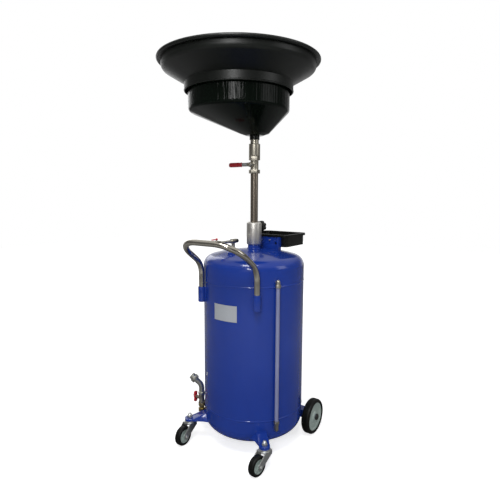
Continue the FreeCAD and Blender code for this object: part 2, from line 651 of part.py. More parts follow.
lower_bowl = new_body("lower_bowl")
bowl_skin(lower_bowl, "Additive", "bowl_radius", CORNER, "sump_radius", SUMP, "sump_land", LAND)
pad(lower_bowl, circles(sketch_on(lower_bowl, "XY_Plane", CORNER), ("0", "0", "bowl_radius")),
    "bowl_side")
pad(lower_bowl, circles(sketch_on(lower_bowl, "XY_Plane", f"{FLANGE} - bowl_wall"),
                        ("0", "0", "bowl_flange")), "bowl_wall")
dress(lower_bowl, "Fillet", "bowl_corner", ring_edge(("bowl_radius", CORNER)))
pocket(lower_bowl, circles(sketch_on(lower_bowl, "XY_Plane", FLANGE),
                           ("0", "0", "bowl_radius - bowl_wall")), "bowl_side - 4")
bowl_skin(lower_bowl, "Subtractive", "bowl_radius - bowl_wall", f"{CORNER} + 4", "sump_radius - 1",
          f"{SUMP} + bowl_wall", "sump_land", f"{LAND} + bowl_wall")
pocket(lower_bowl, circles(sketch_on(lower_bowl, "XY_Plane", f"{LAND} + bowl_wall"),
                           ("axis_across", "axis_back", "spigot_neck + weld_gap")), "bowl_wall + 1")
place(piece(lower_bowl), origin=BOWL)

strainer = new_body("bowl_strainer")
pad(strainer, circles(sketch_on(strainer), ("0", "0", "strainer_radius")), "strainer_thick")
for reach, count in (("16", 6), ("28", 12), ("40", 16)):
    hole = pocket(strainer, circles(sketch_on(strainer), (reach, "0", "3")), "strainer_thick",
                  reverse=True)
    polar(strainer, hole, count)
place(piece(strainer), z=f"{SUMP} + bowl_wall + running_gap")

# Extension ring: skirt over the bowl's flange, cone, upright band and rolled lip.
RING = f"({FLANGE} + running_gap)"
SLOPE = "(ring_cone / (band_radius - ring_collar))"
NECK = (f"({RING} + ring_foot + {SLOPE} * (ring_collar - bowl_radius - 1)"
        f" - bowl_wall * sqrt(1 + {SLOPE}^2))")


def ring_inside(radius):
    """Height of the ring's inner cone at a radius."""
    return (f"{NECK} + {SLOPE} * ({radius} - ring_collar) + bowl_wall * sqrt(1 + {SLOPE}^2)")


ROLL = "(lip_radius - lip_roll)"
BAND_TOP = f"({NECK} + ring_cone + band_height)"
BEAD_ARC = "ring_bead * 0.65"
ring = turned("extension_ring", [
    ("ring_collar - bowl_wall", f"{NECK} - collar_skirt"), ("ring_collar", f"{NECK} - collar_skirt"),
    ("ring_collar", f"{NECK} - collar_skirt + ring_bead", BEAD_ARC), ("ring_collar", NECK),
    ("band_radius", f"{NECK} + ring_cone"), ("band_radius", BAND_TOP), (ROLL, BAND_TOP),
    (ROLL, f"{BAND_TOP} + 2 * lip_roll", "lip_roll * 1.01"),
    (f"{ROLL} - lip_roll", f"{BAND_TOP} + bowl_wall", "lip_roll * 1.8"),
    ("band_radius - bowl_wall", f"{BAND_TOP} + bowl_wall"),
    ("band_radius - bowl_wall", ring_inside("(band_radius - bowl_wall)")),
    ("bowl_radius + 1", ring_inside("(bowl_radius + 1)")), ("bowl_radius + 1", RING),
    ("ring_collar - bowl_wall", RING)])
dress(ring, "Fillet", "ring_corner", ring_edge(("band_radius", f"{NECK} + ring_cone")))
dress(ring, "Fillet", "ring_corner - bowl_wall",
      ring_edge(("band_radius - bowl_wall", ring_inside("(band_radius - bowl_wall)"))))
place(piece(ring), origin=BOWL)

# ---------------------------------------------------------------- push handle

AXIS = Vector(size("axis_across"), size("axis_back"), 0)
handle_points = [AXIS + Vector(side * size("handle_half"), -size(front), size(height))
                 for side, front, height in (
                     (-1, "handle_front", "socket_low + socket_floor + weld_gap"),
                     (-1, "handle_front", "handle_knee"), (-1, "grip_front", "grip_height"),
                     (1, "grip_front", "grip_height"), (1, "handle_front", "handle_knee"),
                     (1, "handle_front", "socket_low + socket_floor + weld_gap"))]
piece(bent_tube("push_handle", handle_points,
                [size(bend) for bend in ("knee_bend", "grip_bend", "grip_bend", "knee_bend")],
                size("handle_radius"), size("handle_wall")))

sockets = []
for name, side in (("left", -1), ("right", 1)):
    socket = new_body(f"socket_blank_{name}")
    pad(socket, circles(sketch_on(socket), ("0", "0", "socket_radius")), "socket_length")
    pad(socket, box(sketch_on(socket), "-socket_radius * 1.6", "-socket_radius * 0.75", "0",
                    "socket_radius * 0.75"), "socket_length")
    pocket(socket, circles(sketch_on(socket, "XY_Plane", "socket_floor"),
                           ("0", "0", "handle_radius + weld_gap")), "socket_length", reverse=True)
    bearing = f"({side} * atan(handle_half / handle_front))"
    place_round(socket, bearing, "sqrt(handle_half^2 + handle_front^2)", "socket_low")
    sockets.append(cut_by(f"handle_socket_{name}", socket, envelope))
together("handle_sockets", sockets)

# ---------------------------------------------------------------- sight gauge

gauge_tube = piece(turned("sight_tube", [
    ("gauge_radius - gauge_wall", "gauge_low"), ("gauge_radius", "gauge_low"),
    ("gauge_radius", "gauge_high"), ("gauge_radius - gauge_wall", "gauge_high")]))
place_round(gauge_tube, "gauge_bearing", "gauge_reach")

fittings = []
for name, length, z, turn in (("upper", "gauge_cap", "gauge_high", UPRIGHT),
                              ("lower", "gauge_foot", "gauge_low", UPSIDE_DOWN)):
    fitting = turned(f"fitting_blank_{name}", [
        ("0", "0.5"), ("gauge_body", "0.5"), ("gauge_body", f"{length} - gauge_body"),
        ("0", length, "gauge_body * 1.01")])
    pad(fitting, hexagon(sketch_on(fitting, "XY_Plane", "-3"), "gauge_nut_flats"), "gauge_nut")
    pad(fitting, circles(sketch_on(fitting, "YZ_Plane"),
                         ("0", f"{length} - gauge_body - 2", "gauge_pipe")), "gauge_radius * 2.4",
        reverse=True)
    pocket(fitting, circles(sketch_on(fitting, "XY_Plane", "-3"),
                            ("0", "0", "gauge_radius + weld_gap")), "3 + weld_gap", reverse=True)
    pocket(fitting, circles(sketch_on(fitting), ("0", "0", "gauge_radius - gauge_wall")),
           f"{length} - gauge_body", reverse=True)
    place_round(fitting, "gauge_bearing", "gauge_reach", z, turn)
    fittings.append(cut_by(f"sight_fitting_{name}", fitting, envelope))
together("sight_fittings", fittings)

# ---------------------------------------------------------------- casters


def arm_section(x, foot, crest, low, high):
    """A trapezium across the arm, x outwards from the tank axis, foot to its left and right."""
    left, right = foot
    corners = [Vector(size(x), size(across), size(height)) for across, height in (
        (f"-({right})", low), (left, low), (crest, high), (f"-({crest})", high))]
    return Part.makePolygon(corners + corners[:1])


def arm_shape(side):
    """A pressed channel, open below, that flares to the tank and ends in a flat round nose.

    Its foot spreads further on the front side, away from the outlet and the gauge.
    """
    shells = []
    for inset, low in (("0", "arm_under"), ("arm_wall", "(arm_under - 1)")):
        feet = [[f"{part}_front - {inset}", f"{part}_back - {inset}"][::-side]
                for part in ("root", "waist")]
        end = f"arm_end - {inset}"
        sections = [
            arm_section("arm_root", feet[0], f"arm_crest - {inset}", low,
                        f"arm_top + root_rise - {inset}"),
            arm_section("arm_waist", feet[1], f"arm_crest - {inset}", low,
                        f"arm_top + waist_rise - {inset}"),
            arm_section("stud_reach - stud_nut_flats * 0.65", (end, end), end, low,
                        f"arm_top - {inset}"),
            arm_section("stud_reach", (end, end), end, low, f"arm_top - {inset}")]
        nose = Part.makeCylinder(size(f"arm_end - {inset}"), size(f"arm_top - {inset} - {low}"),
                                 Vector(size("stud_reach"), 0, size(low)))
        shells.append(Part.makeLoft(sections, True, True).fuse(nose))
    hole = Part.makeCylinder(size("stud_radius + weld_gap"), size("arm_top"),
                             Vector(size("stud_reach"), 0, 0))
    return shells[0].cut(shells[1]).cut(hole).removeSplitter()


# Fixed stud with its nut above the arm and its race and kingpin head below.
PLATE = "(fork_top - fork_plate)"
studs = []
for name, side in (("left", -1), ("right", 1)):
    bearing = f"({side} * arm_bearing)"
    arm = DOC.addObject("Part::Feature", f"arm_blank_{name}")
    arm.Shape = arm_shape(side)
    place(arm, turn=Rotation(Vector(0, 0, 1), 270 + size(bearing)))
    piece(cut_by(f"caster_arm_{name}", arm, envelope))

    stud = turned(f"caster_stud_{name}", [
        ("0", f"{PLATE} - running_gap - kingpin_thick"),
        ("kingpin_head", f"{PLATE} - running_gap - kingpin_thick"),
        ("kingpin_head", f"{PLATE} - running_gap"), ("stud_radius", f"{PLATE} - running_gap"),
        ("stud_radius", "arm_under - race_thick"), ("race_radius", "arm_under - race_thick"),
        ("race_radius", "arm_under - weld_gap"), ("stud_radius", "arm_under - weld_gap"),
        ("stud_radius", "stud_top - 1.5"), ("stud_radius - 1.5", "stud_top"), ("0", "stud_top")])
    pad(stud, hexagon(sketch_on(stud, "XY_Plane", "arm_top + weld_gap"), "stud_nut_flats"),
        "stud_nut")
    place_round(stud, bearing, "stud_reach")
    studs.append(stud)

    # Swivel fork: the wheel trails towards the body's +X.
    turn = Rotation(Vector(0, 0, 1), -90 + size(f"{name}_caster_turn"))
    x, y = f"stud_reach * sin({bearing})", f"-stud_reach * cos({bearing})"
    fork = new_body(f"caster_fork_{name}")
    pad(fork, outline(sketch_on(fork, "XZ_Plane"), [
        ("-race_radius + 1", "fork_top"), ("-race_radius + 1", "fork_top - 16"),
        ("caster_trail - fork_eye * 0.8", "caster_radius - fork_eye * 0.6"),
        ("caster_trail + fork_eye", "caster_radius", "fork_eye"),
        ("caster_trail + fork_eye", "caster_radius + fork_eye"),
        ("race_radius + 3", "fork_top - 6"), ("race_radius", "fork_top")]),
        "fork_width", both=True)
    pocket(fork, box(sketch_on(fork, "XZ_Plane"), "-race_radius - 1", "0",
                     "caster_trail + 2 * fork_eye", PLATE),
           "fork_width - 2 * fork_wall", both=True)
    pocket(fork, circles(sketch_on(fork), ("0", "0", "stud_radius + turn_fit")), "fork_top + 1",
           reverse=True)
    pocket(fork, circles(sketch_on(fork, "XZ_Plane"),
                         ("caster_trail", "caster_radius", "caster_bolt + weld_gap")),
           "fork_width + 2", both=True)
    place(piece(fork), x, y, turn=turn)

    axle = new_body(f"caster_axle_{name}")
    pad(axle, circles(sketch_on(axle, "XZ_Plane"), ("0", "0", "caster_bolt")),
        "caster_bolt_length", both=True)
    for lift in ("fork_width / 2 + weld_gap", "-fork_width / 2 - weld_gap - 3.5"):
        pad(axle, hexagon(sketch_on(axle, "XZ_Plane", lift), "caster_bolt * 3.2"), "3.5")
    place(piece(axle), f"{x} + caster_trail * sin({name}_caster_turn)",
          f"{y} - caster_trail * cos({name}_caster_turn)", "caster_radius", turn)

    half = "caster_width / 2"
    flat_turn = turn * TO_FRONT
    tyre = piece(turned(f"caster_tyre_{name}", [
        ("caster_hub_radius + weld_gap", f"-{half} + 2"), ("caster_radius - 6", f"-{half}"),
        ("caster_radius", f"-{half} + 7", "8"), ("caster_radius", f"{half} - 7"),
        ("caster_radius - 6", half, "8"), ("caster_hub_radius + weld_gap", f"{half} - 2")]))
    hub = piece(turned(f"caster_hub_{name}", [
        ("caster_bolt + turn_fit", f"-{half} - 2"), ("10", f"-{half} - 2"), ("11", f"-{half} + 4"),
        ("caster_hub_radius - 4", f"-{half} + 5"), ("caster_hub_radius - 3", f"-{half} + 2"),
        ("caster_hub_radius", f"-{half} + 2"), ("caster_hub_radius", f"{half} - 2"),
        ("caster_hub_radius - 3", f"{half} - 2"), ("caster_hub_radius - 4", f"{half} - 5"),
        ("11", f"{half} - 4"), ("10", f"{half} + 2"), ("caster_bolt + turn_fit", f"{half} + 2")]))
    for item in (tyre, hub):
        place(item, f"{x} + caster_trail * sin({name}_caster_turn)",
              f"{y} - caster_trail * cos({name}_caster_turn)", "caster_radius", flat_turn)

together("caster_studs", studs)

# ---------------------------------------------------------------- rear wheels

brackets = []
caps = []
for name, side, turn in (("left", -1, TO_LEFT), ("right", 1, TO_RIGHT)):
    inner = "(wheel_centre - wheel_width / 2)"
    # Box bracket welded to the tank, with the stub axle welded through it.
    bracket = new_body(f"bracket_blank_{name}")
    pad(bracket, box(sketch_on(bracket, "YZ_Plane", f"{side} * ({inner} - bracket_gap)"),
                     "-bracket_half", "bracket_low", "bracket_half", "bracket_high"),
        "tank_radius / 2", reverse=side > 0)
    pocket(bracket, box(sketch_on(bracket, "YZ_Plane", f"{side} * ({inner} - bracket_gap - bracket_wall)"),
                        "-bracket_half + bracket_wall", "bracket_low - 1", "bracket_half + 1",
                        "bracket_high - bracket_wall"),
           "tank_radius", reverse=side < 0)
    pad(bracket, circles(sketch_on(bracket, "YZ_Plane", f"{side} * ({inner} - bracket_gap - bracket_wall)"),
                         ("0", "wheel_radius", "axle_radius + 5")), "8", reverse=side < 0)
    pad(bracket, circles(sketch_on(bracket, "YZ_Plane", f"{side} * ({inner} - bracket_gap)"),
                         ("0", "wheel_radius", "axle_radius")),
        "bracket_gap + wheel_width + cap_seat - weld_gap", reverse=side < 0)
    place(bracket, y="wheel_back")
    brackets.append(cut_by(f"axle_bracket_{name}", bracket, envelope))

    half = "wheel_width / 2"
    cap = turned(f"wheel_cap_{name}", [
        ("0", f"{half} + cap_seat"), ("axle_radius + weld_gap", f"{half} + cap_seat"),
        ("axle_radius + weld_gap", f"{half} + 1"), ("cap_radius", f"{half} + 1"),
        ("cap_radius", f"{half} + 4"), ("cap_radius - 3", f"{half} + 7", "3.6"),
        ("0", f"{half} + 7")])
    place(cap, f"{side} * wheel_centre", "wheel_back", "wheel_radius", turn)
    caps.append(cap)
    ribs = [(f"wheel_radius - {depth}", f"{groove} * tread_pitch + {edge}") for groove in (-1, 0, 1)
            for depth, edge in (("0", "-1"), ("tread_groove", "-0.5"), ("tread_groove", "0.5"),
                                ("0", "1"))]
    tyre = turned(f"wheel_tyre_{name}", [
        ("wheel_hub_radius + weld_gap", f"-{half} + 4"), ("wheel_radius - 9", f"-{half}"),
        ("wheel_radius", f"-{half} + 9", "10"), *ribs, ("wheel_radius", f"{half} - 9"),
        ("wheel_radius - 9", half, "10"), ("wheel_hub_radius + weld_gap", f"{half} - 4")])
    place(piece(tyre), f"{side} * wheel_centre", "wheel_back", "wheel_radius", turn)
    hub = turned(f"wheel_hub_{name}", [
        ("axle_radius + slide_fit", f"-{half} + 1"), ("18", f"-{half} + 1"), ("20", "-6"),
        ("wheel_hub_radius - 8", "-4"), ("wheel_hub_radius - 5", f"-{half} + 4"),
        ("wheel_hub_radius", f"-{half} + 4"), ("wheel_hub_radius", f"{half} - 4"),
        ("wheel_hub_radius - 4", f"{half} - 4"), ("wheel_hub_radius - 10", f"{half} - 9"),
        ("26", f"{half} - 7"), ("20", f"{half} - 1"), ("axle_radius + slide_fit", f"{half} - 1")])
    place(piece(hub), f"{side} * wheel_centre", "wheel_back", "wheel_radius", turn)
together("axle_brackets", brackets)
together("wheel_caps", caps)

# ---------------------------------------------------------------- pressure discharge

boss_parts = new_body("drain_blank")
pad(boss_parts, circles(sketch_on(boss_parts, "XY_Plane", "drain_low"), ("0", "0", "drain_pipe")),
    "drain_base - drain_low")
pad(boss_parts, circles(sketch_on(boss_parts, "YZ_Plane"), ("0", "drain_low", "drain_pipe")),
    "tank_radius / 3", reverse=True)
revolve(outline(sketch_on(boss_parts, "XZ_Plane"), [
    ("0", "drain_low - drain_pipe"), ("drain_pipe", "drain_low", "drain_pipe"),
    ("0", "drain_low + drain_pipe", "drain_pipe")]), boss_parts)
place_round(boss_parts, "drain_bearing", "drain_reach")
piece(cut_by("drain_boss", boss_parts, envelope))

nipple = turned("drain_nipple", [
    ("drain_port", "0"), ("nipple_neck", "0"), ("nipple_neck", "nipple_length"),
    ("drain_port", "nipple_length")])
for lift in ("0.1", "nipple_length - nipple_hex"):
    pad(nipple, hexagon(sketch_on(nipple, "XY_Plane", lift), "nipple_flats"), "nipple_hex - 0.1")
pocket(nipple, circles(sketch_on(nipple), ("0", "0", "drain_port")), "nipple_length", reverse=True)
place_round(piece(nipple), "drain_bearing", "drain_reach", "drain_base")

# The ball's stem and its butterfly point to the left.
DRAIN_X, DRAIN_Y = "drain_reach * sin(drain_bearing)", "-drain_reach * cos(drain_bearing)"
VALVE_BASE = "drain_base + nipple_length"
drain_valve = piece(ball_valve(
    "drain_valve_body", "drain_valve_length", "drain_valve_flats", "drain_valve_hex",
    "drain_ball + 2", "drain_ball", "drain_port", "drain_stem", "drain_stem_boss",
    "drain_stem_boss_reach"))
place(drain_valve, DRAIN_X, DRAIN_Y, VALVE_BASE, HALF_TURN)
BUTTERFLY = "(drain_stem_boss_reach + lever_gap)"
drain_ball = piece(valve_ball("drain_valve_ball", "drain_ball", "drain_port", "drain_stem",
                              "drain_stem_reach", "2 * drain_stem + 4", "3",
                              f"{BUTTERFLY} + butterfly_thick + seat_gap", "XY_Plane"))
place(drain_ball, DRAIN_X, DRAIN_Y, f"{VALVE_BASE} + drain_valve_length / 2", HALF_TURN)

butterfly = new_body("drain_valve_handle")
pad(butterfly, circles(sketch_on(butterfly, "YZ_Plane"), ("0", "0", "butterfly_width / 2")),
    "butterfly_thick")
for side in (-1, 1):
    pad(butterfly, outline(sketch_on(butterfly, "YZ_Plane"), [
        (f"{-side} * butterfly_width / 4", "0"), (f"{side} * butterfly_width / 4", "0"),
        (f"{side} * butterfly_width / 2", f"{side} * (butterfly_half - butterfly_width / 2)"),
        (f"{-side} * butterfly_width / 2", f"{side} * (butterfly_half - butterfly_width / 2)",
         "butterfly_width * 0.505")]), "butterfly_thick")
pocket(butterfly, circles(sketch_on(butterfly, "YZ_Plane"), ("0", "0", "drain_stem + turn_fit")),
       "butterfly_thick", reverse=True)
place(piece(butterfly), f"{DRAIN_X} - {BUTTERFLY}", DRAIN_Y,
      f"{VALVE_BASE} + drain_valve_length / 2", HALF_TURN)

ELBOW_FOOT = f"{VALVE_BASE} + drain_valve_length"
out = Vector(math.sin(math.radians(size("drain_bearing"))),
             -math.cos(math.radians(size("drain_bearing"))), 0)
up = Vector(0, 0, 1)
foot = AXIS + out * size("drain_reach") + up * size(ELBOW_FOOT)
lean = (out + up).normalize()
knee = foot + up * (size("elbow_rise") + size("elbow_bend") * math.tan(math.radians(22.5)))
tail = size("elbow_bend") * math.tan(math.radians(22.5)) + size("elbow_run")
piece(bent_tube("drain_elbow", [foot, knee, knee + lean * tail], [size("elbow_bend")],
                size("elbow_radius"), size("elbow_wall")))
coupling = new_body("drain_coupling")
pad(coupling, hexagon(sketch_on(coupling), "coupling_flats"), "coupling_length * 0.6")
pad(coupling, circles(sketch_on(coupling, "XY_Plane", "coupling_length * 0.6"),
                      ("0", "0", "coupling_flats * 0.46")), "coupling_length * 0.4")
pocket(coupling, circles(sketch_on(coupling), ("0", "0", "elbow_radius + weld_gap")),
       "coupling_seat + weld_gap", reverse=True)
pocket(coupling, circles(sketch_on(coupling), ("0", "0", "coupling_bore")), "coupling_length",
       reverse=True)
coupling.Placement = Placement(knee + lean * (tail - size("coupling_seat")), Rotation(up, lean))
piece(coupling)

# ---------------------------------------------------------------- air inlet

AIR_RADIUS = "sqrt(air_across^2 + air_back^2)"
riser = new_body("riser_blank")
pad(riser, circles(sketch_on(riser, "XY_Plane", "-air_height + seam_high + skirt_high"),
                   ("0", "0", "riser_radius")), "air_height - seam_high - skirt_high")
pad(riser, hexagon(sketch_on(riser, "XY_Plane", f"-air_height + {head_top(AIR_RADIUS)} - 4"),
                   "riser_radius * 2.6"), "12")
pad(riser, circles(sketch_on(riser, "XZ_Plane"), ("0", "0", "tee_radius")), "2 * tee_half",
    both=True)
place(riser, "air_across", "air_back", "air_height")
piece(cut_by("air_tee", riser, envelope))

AIR_FRONT = "air_back - tee_half"
relief = piece(turned("air_relief_valve", [
    ("0", "0"), ("relief_radius * 0.7", "0"), ("relief_radius * 0.7", "3"), ("relief_radius", "4"),
    ("relief_radius", "relief_length - 2"), ("relief_radius - 2", "relief_length"),
    ("0", "relief_length")]))
place(relief, "air_across", "air_back + tee_half", "air_height", TO_BACK)
air_line = piece(turned("air_line", [
    ("air_line_radius - 2", "0"), ("air_line_radius", "0"), ("air_line_radius", "air_line_length"),
    ("air_line_radius - 2", "air_line_length")]))
place(air_line, "air_across", AIR_FRONT, "air_height", TO_FRONT)
AIR_VALVE = f"{AIR_FRONT} - air_line_length"
air_valve = turned("air_valve_body", [
    ("0", "0.1"), ("air_valve_flats * 0.4", "0.1"), ("air_valve_flats * 0.4", "air_valve_length - 0.1"),
    ("0", "air_valve_length - 0.1")])
for lift in ("0", "air_valve_length - 10"):
    pad(air_valve, hexagon(sketch_on(air_valve, "XY_Plane", lift), "air_valve_flats"), "10")
pad(air_valve, circles(sketch_on(air_valve, "XZ_Plane"), ("0", "air_valve_length / 2", "5")),
    "air_stem_top - 3", reverse=True)
pocket(air_valve, circles(sketch_on(air_valve, "XZ_Plane"),
                          ("0", "air_valve_length / 2", "air_stem + turn_fit")),
       "air_stem_top", reverse=False)
place(piece(air_valve), "air_across", AIR_VALVE, "air_height", TO_FRONT)

air_lever = new_body("air_valve_lever")
pad(air_lever, outline(sketch_on(air_lever), [
    ("-air_lever_width / 2", "-air_lever_length + air_lever_width / 2"),
    ("air_lever_width / 2", "-air_lever_length + air_lever_width / 2", "air_lever_width * 0.505"),
    ("air_lever_width / 2", "0"), ("-air_lever_width / 2", "0", "air_lever_width * 0.505")]),
    "air_lever_thick")
pad(air_lever, circles(sketch_on(air_lever), ("0", "0", "air_stem")), "air_stem_top - 4",
    reverse=True)
pad(air_lever, circles(sketch_on(air_lever, "XY_Plane", "air_lever_thick"), ("0", "0", "4")), "2.5")
place(piece(air_lever), "air_across", f"{AIR_VALVE} - air_valve_length / 2",
      "air_height + air_stem_top")

air_plug = piece(turned("air_plug", [
    ("0", "0"), ("plug_radius", "0"), ("plug_radius", "8"), ("plug_radius - 2", "9"),
    ("plug_radius - 2", "14"), ("plug_radius - 0.5", "15"), ("plug_radius - 0.5", "18"),
    ("plug_radius - 2.5", "20"), ("plug_radius - 2.5", "plug_length"), ("0", "plug_length")]))
place(air_plug, "air_across", f"{AIR_VALVE} - air_valve_length", "air_height", TO_FRONT)

# ---------------------------------------------------------------- filler

FILLER_TOP = f"({head_top('sqrt(filler_across^2 + filler_front^2)')} + filler_rise)"
filler = turned("filler_boss", [
    ("0", "-filler_rise - 12"), ("filler_radius", "-filler_rise - 12"), ("filler_radius", "-1.5"),
    ("filler_radius - 1.5", "0"), ("0", "0")])
filler_hole = DOC.addObject("Part::Cylinder", "filler_hole")
filler_hole.setExpression("Radius", bound("filler_bore"))
filler_hole.setExpression("Height", bound("filler_rise + 14"))
place(filler, "filler_across", "-filler_front", FILLER_TOP)
place(filler_hole, "filler_across", "-filler_front", f"{FILLER_TOP} - filler_rise - 13")
bossed_head = DOC.addObject("Part::Fuse", "bossed_head")
bossed_head.Base = upper_blank
bossed_head.Tool = filler
piece(cut_by("upper_head", bossed_head, filler_hole))
filler_plug = new_body("filler_plug")
pad(filler_plug, circles(sketch_on(filler_plug), ("0", "0", "filler_bore - weld_gap")), "5",
    reverse=True)
pocket(filler_plug, hexagon(sketch_on(filler_plug), "8"), "3")
place(piece(filler_plug), "filler_across", "-filler_front", f"{FILLER_TOP} - filler_plug_drop")

# ---------------------------------------------------------------- tool tray

HALF = "(tray_width / 2)"
tray = new_body("tool_tray")
pad(tray, soft_box(sketch_on(tray), f"-{HALF} + tray_rim", "tray_rim", f"{HALF} - tray_rim",
                   "tray_depth - tray_rim", "tray_corner - tray_rim"),
    "tray_rim_top - tray_floor")
pad(tray, soft_box(sketch_on(tray, "XY_Plane", "tray_rim_top - tray_floor - tray_lip"),
                   f"-{HALF}", "0", HALF, "tray_depth", "tray_corner"), "tray_lip")
pocket(tray, soft_box(sketch_on(tray, "XY_Plane", "tray_wall"),
                      f"-{HALF} + tray_rim + tray_wall", "tray_rim + tray_wall",
                      f"{HALF} - tray_rim - tray_wall", "tray_depth - tray_rim - tray_wall",
                      "tray_corner - tray_rim - tray_wall"),
       "tray_rim_top - tray_floor", reverse=True)
under = sketch_on(tray, "XY_Plane", "tray_rim_top - tray_floor - tray_lip")
soft_box(under, f"-{HALF} + tray_wall", "tray_wall", f"{HALF} - tray_wall",
         "tray_depth - tray_wall", "tray_corner - tray_wall")
soft_box(under, f"-{HALF} + tray_rim", "tray_rim", f"{HALF} - tray_rim",
         "tray_depth - tray_rim", "tray_corner - tray_rim")
pocket(tray, under, "tray_lip - tray_wall", reverse=True)
BOLT_HEIGHT = "(tray_floor + 26)"
for side in (-1, 1):
    pocket(tray, circles(sketch_on(tray, "XZ_Plane"),
                         (f"{side} * tray_bolt_half", "26", "bolt_radius + weld_gap")),
           "tray_rim + tray_wall + 1")
place(piece(tray), "tray_middle", "tray_front", "tray_floor")

# Folded holder plate in front of the tray, under its rim, welded to the upper head.
HOLDER_Y = "tray_front + tray_rim - holder_plate - weld_gap"
holder = new_body("holder_blank")
half = "(holder_width / 2)"
pad(holder, outline(sketch_on(holder), [
    (f"-{half}", "-holder_flange"), (f"-{half} + holder_plate", "-holder_flange"),
    (f"-{half} + holder_plate", "0"), (f"{half} - holder_plate", "0"),
    (f"{half} - holder_plate", "-holder_flange"), (half, "-holder_flange"),
    (half, "holder_plate"), (f"-{half}", "holder_plate")]),
    "tray_rim_top - tray_lip - seam_high - weld_gap - skirt_high")
for side in (-1, 1):
    pocket(holder, circles(sketch_on(holder, "XZ_Plane"),
                           (f"{side} * holder_hole_half",
                            "holder_hole_height - seam_high - skirt_high", "holder_hole")),
           "holder_plate + 1")
    pocket(holder, circles(sketch_on(holder, "XZ_Plane"),
                           (f"{side} * tray_bolt_half",
                            f"{BOLT_HEIGHT} - seam_high - skirt_high", "bolt_radius + weld_gap")),
           "holder_plate + 1")
place(holder, "tray_middle", HOLDER_Y, "seam_high + skirt_high")
piece(cut_by("tray_holder", holder, envelope))

# Two hexagon bolts hold the tray to the holder plate.
bolts = []
for side in (-1, 1):
    bolt = turned("tray_bolt", [("0", "0"), ("bolt_radius", "0"), ("bolt_radius", "bolt_length"),
                                ("0", "bolt_length")])
    pad(bolt, hexagon(sketch_on(bolt, "XY_Plane", "bolt_length"), "bolt_flats"), "bolt_head")
    place(bolt, f"tray_middle + {side} * tray_bolt_half",
          "tray_front + tray_rim + tray_wall + weld_gap - bolt_length", BOLT_HEIGHT, TO_BACK)
    bolts.append(bolt)
together("tray_bolts", bolts)

# ---------------------------------------------------------------- check and write

DOC.recompute()
for item in DOC.Objects:
    if "Invalid" in item.State or "Error" in item.State:
        raise SystemExit(f"{item.Label} did not compute: {item.State}")
os.makedirs("parts", exist_ok=True)
for item in PIECES:
    if item.Shape.isNull() or not item.Shape.isValid() or not item.Shape.Solids:
        raise SystemExit(f"{item.Label} is not a valid solid")
    item.Shape.exportStep(f"parts/{item.Label}.step")
print(f"{len(PIECES)} pieces, {sum(len(item.Shape.Solids) for item in PIECES)} solids")
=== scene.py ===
"""Looks of a mobile waste-oil drainer: bowl on a sliding post over a wheeled pressure tank.

The sections follow the drainer as it is put together, from the tank up to the bowl.
"""

import json
import math

import bpy
from mathutils import Matrix, Vector


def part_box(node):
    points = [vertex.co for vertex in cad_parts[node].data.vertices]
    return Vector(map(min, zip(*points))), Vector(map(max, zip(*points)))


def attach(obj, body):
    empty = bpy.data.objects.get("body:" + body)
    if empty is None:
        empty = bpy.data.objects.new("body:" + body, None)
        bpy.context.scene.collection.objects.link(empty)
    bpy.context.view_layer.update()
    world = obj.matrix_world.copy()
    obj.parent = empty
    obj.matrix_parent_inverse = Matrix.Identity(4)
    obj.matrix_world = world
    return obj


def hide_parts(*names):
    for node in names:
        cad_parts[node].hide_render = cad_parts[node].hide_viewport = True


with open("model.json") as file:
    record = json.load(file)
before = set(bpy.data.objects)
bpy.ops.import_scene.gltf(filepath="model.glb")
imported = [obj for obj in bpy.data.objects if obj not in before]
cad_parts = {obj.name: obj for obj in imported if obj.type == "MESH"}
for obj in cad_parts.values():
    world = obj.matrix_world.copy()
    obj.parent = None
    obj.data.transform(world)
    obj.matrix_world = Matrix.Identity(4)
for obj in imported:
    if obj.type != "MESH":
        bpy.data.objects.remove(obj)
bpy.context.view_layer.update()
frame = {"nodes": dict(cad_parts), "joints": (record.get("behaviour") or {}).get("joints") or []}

# ---------------------------------------------------------------- studio
# A pale floor that keeps the drainer's shadow, a narrow soft box in front, one at each side, one
# overhead and a white surround. The camera stands at the front right, at about the height of the
# tray.


def node(tree, kind, inputs=None, into=None, **settings):
    """Add a shader node with its settings, fill its inputs and link what it gives into a socket."""
    added = tree.nodes.new("ShaderNode" + kind)
    for name, value in settings.items():
        setattr(added, name, value)
    for name, value in (inputs or {}).items():
        if isinstance(value, bpy.types.NodeSocket):
            tree.links.new(value, added.inputs[name])
        else:
            added.inputs[name].default_value = value
    if into:
        tree.links.new(added.outputs[0], into)
    return added


def every(size):
    """The scale of a pattern whose cells are so many millimetres across."""
    return 1000 / size


def finish(name, **surface):
    """A material with its own shader values, its node tree, its shader and its position socket."""
    made = bpy.data.materials.new(name)
    made.use_nodes = True
    shader = made.node_tree.nodes["Principled BSDF"]
    for socket, value in surface.items():
        shader.inputs[socket.replace("_", " ")].default_value = value
    place = node(made.node_tree, "TexCoord").outputs["Object"]
    return made, made.node_tree, shader, place


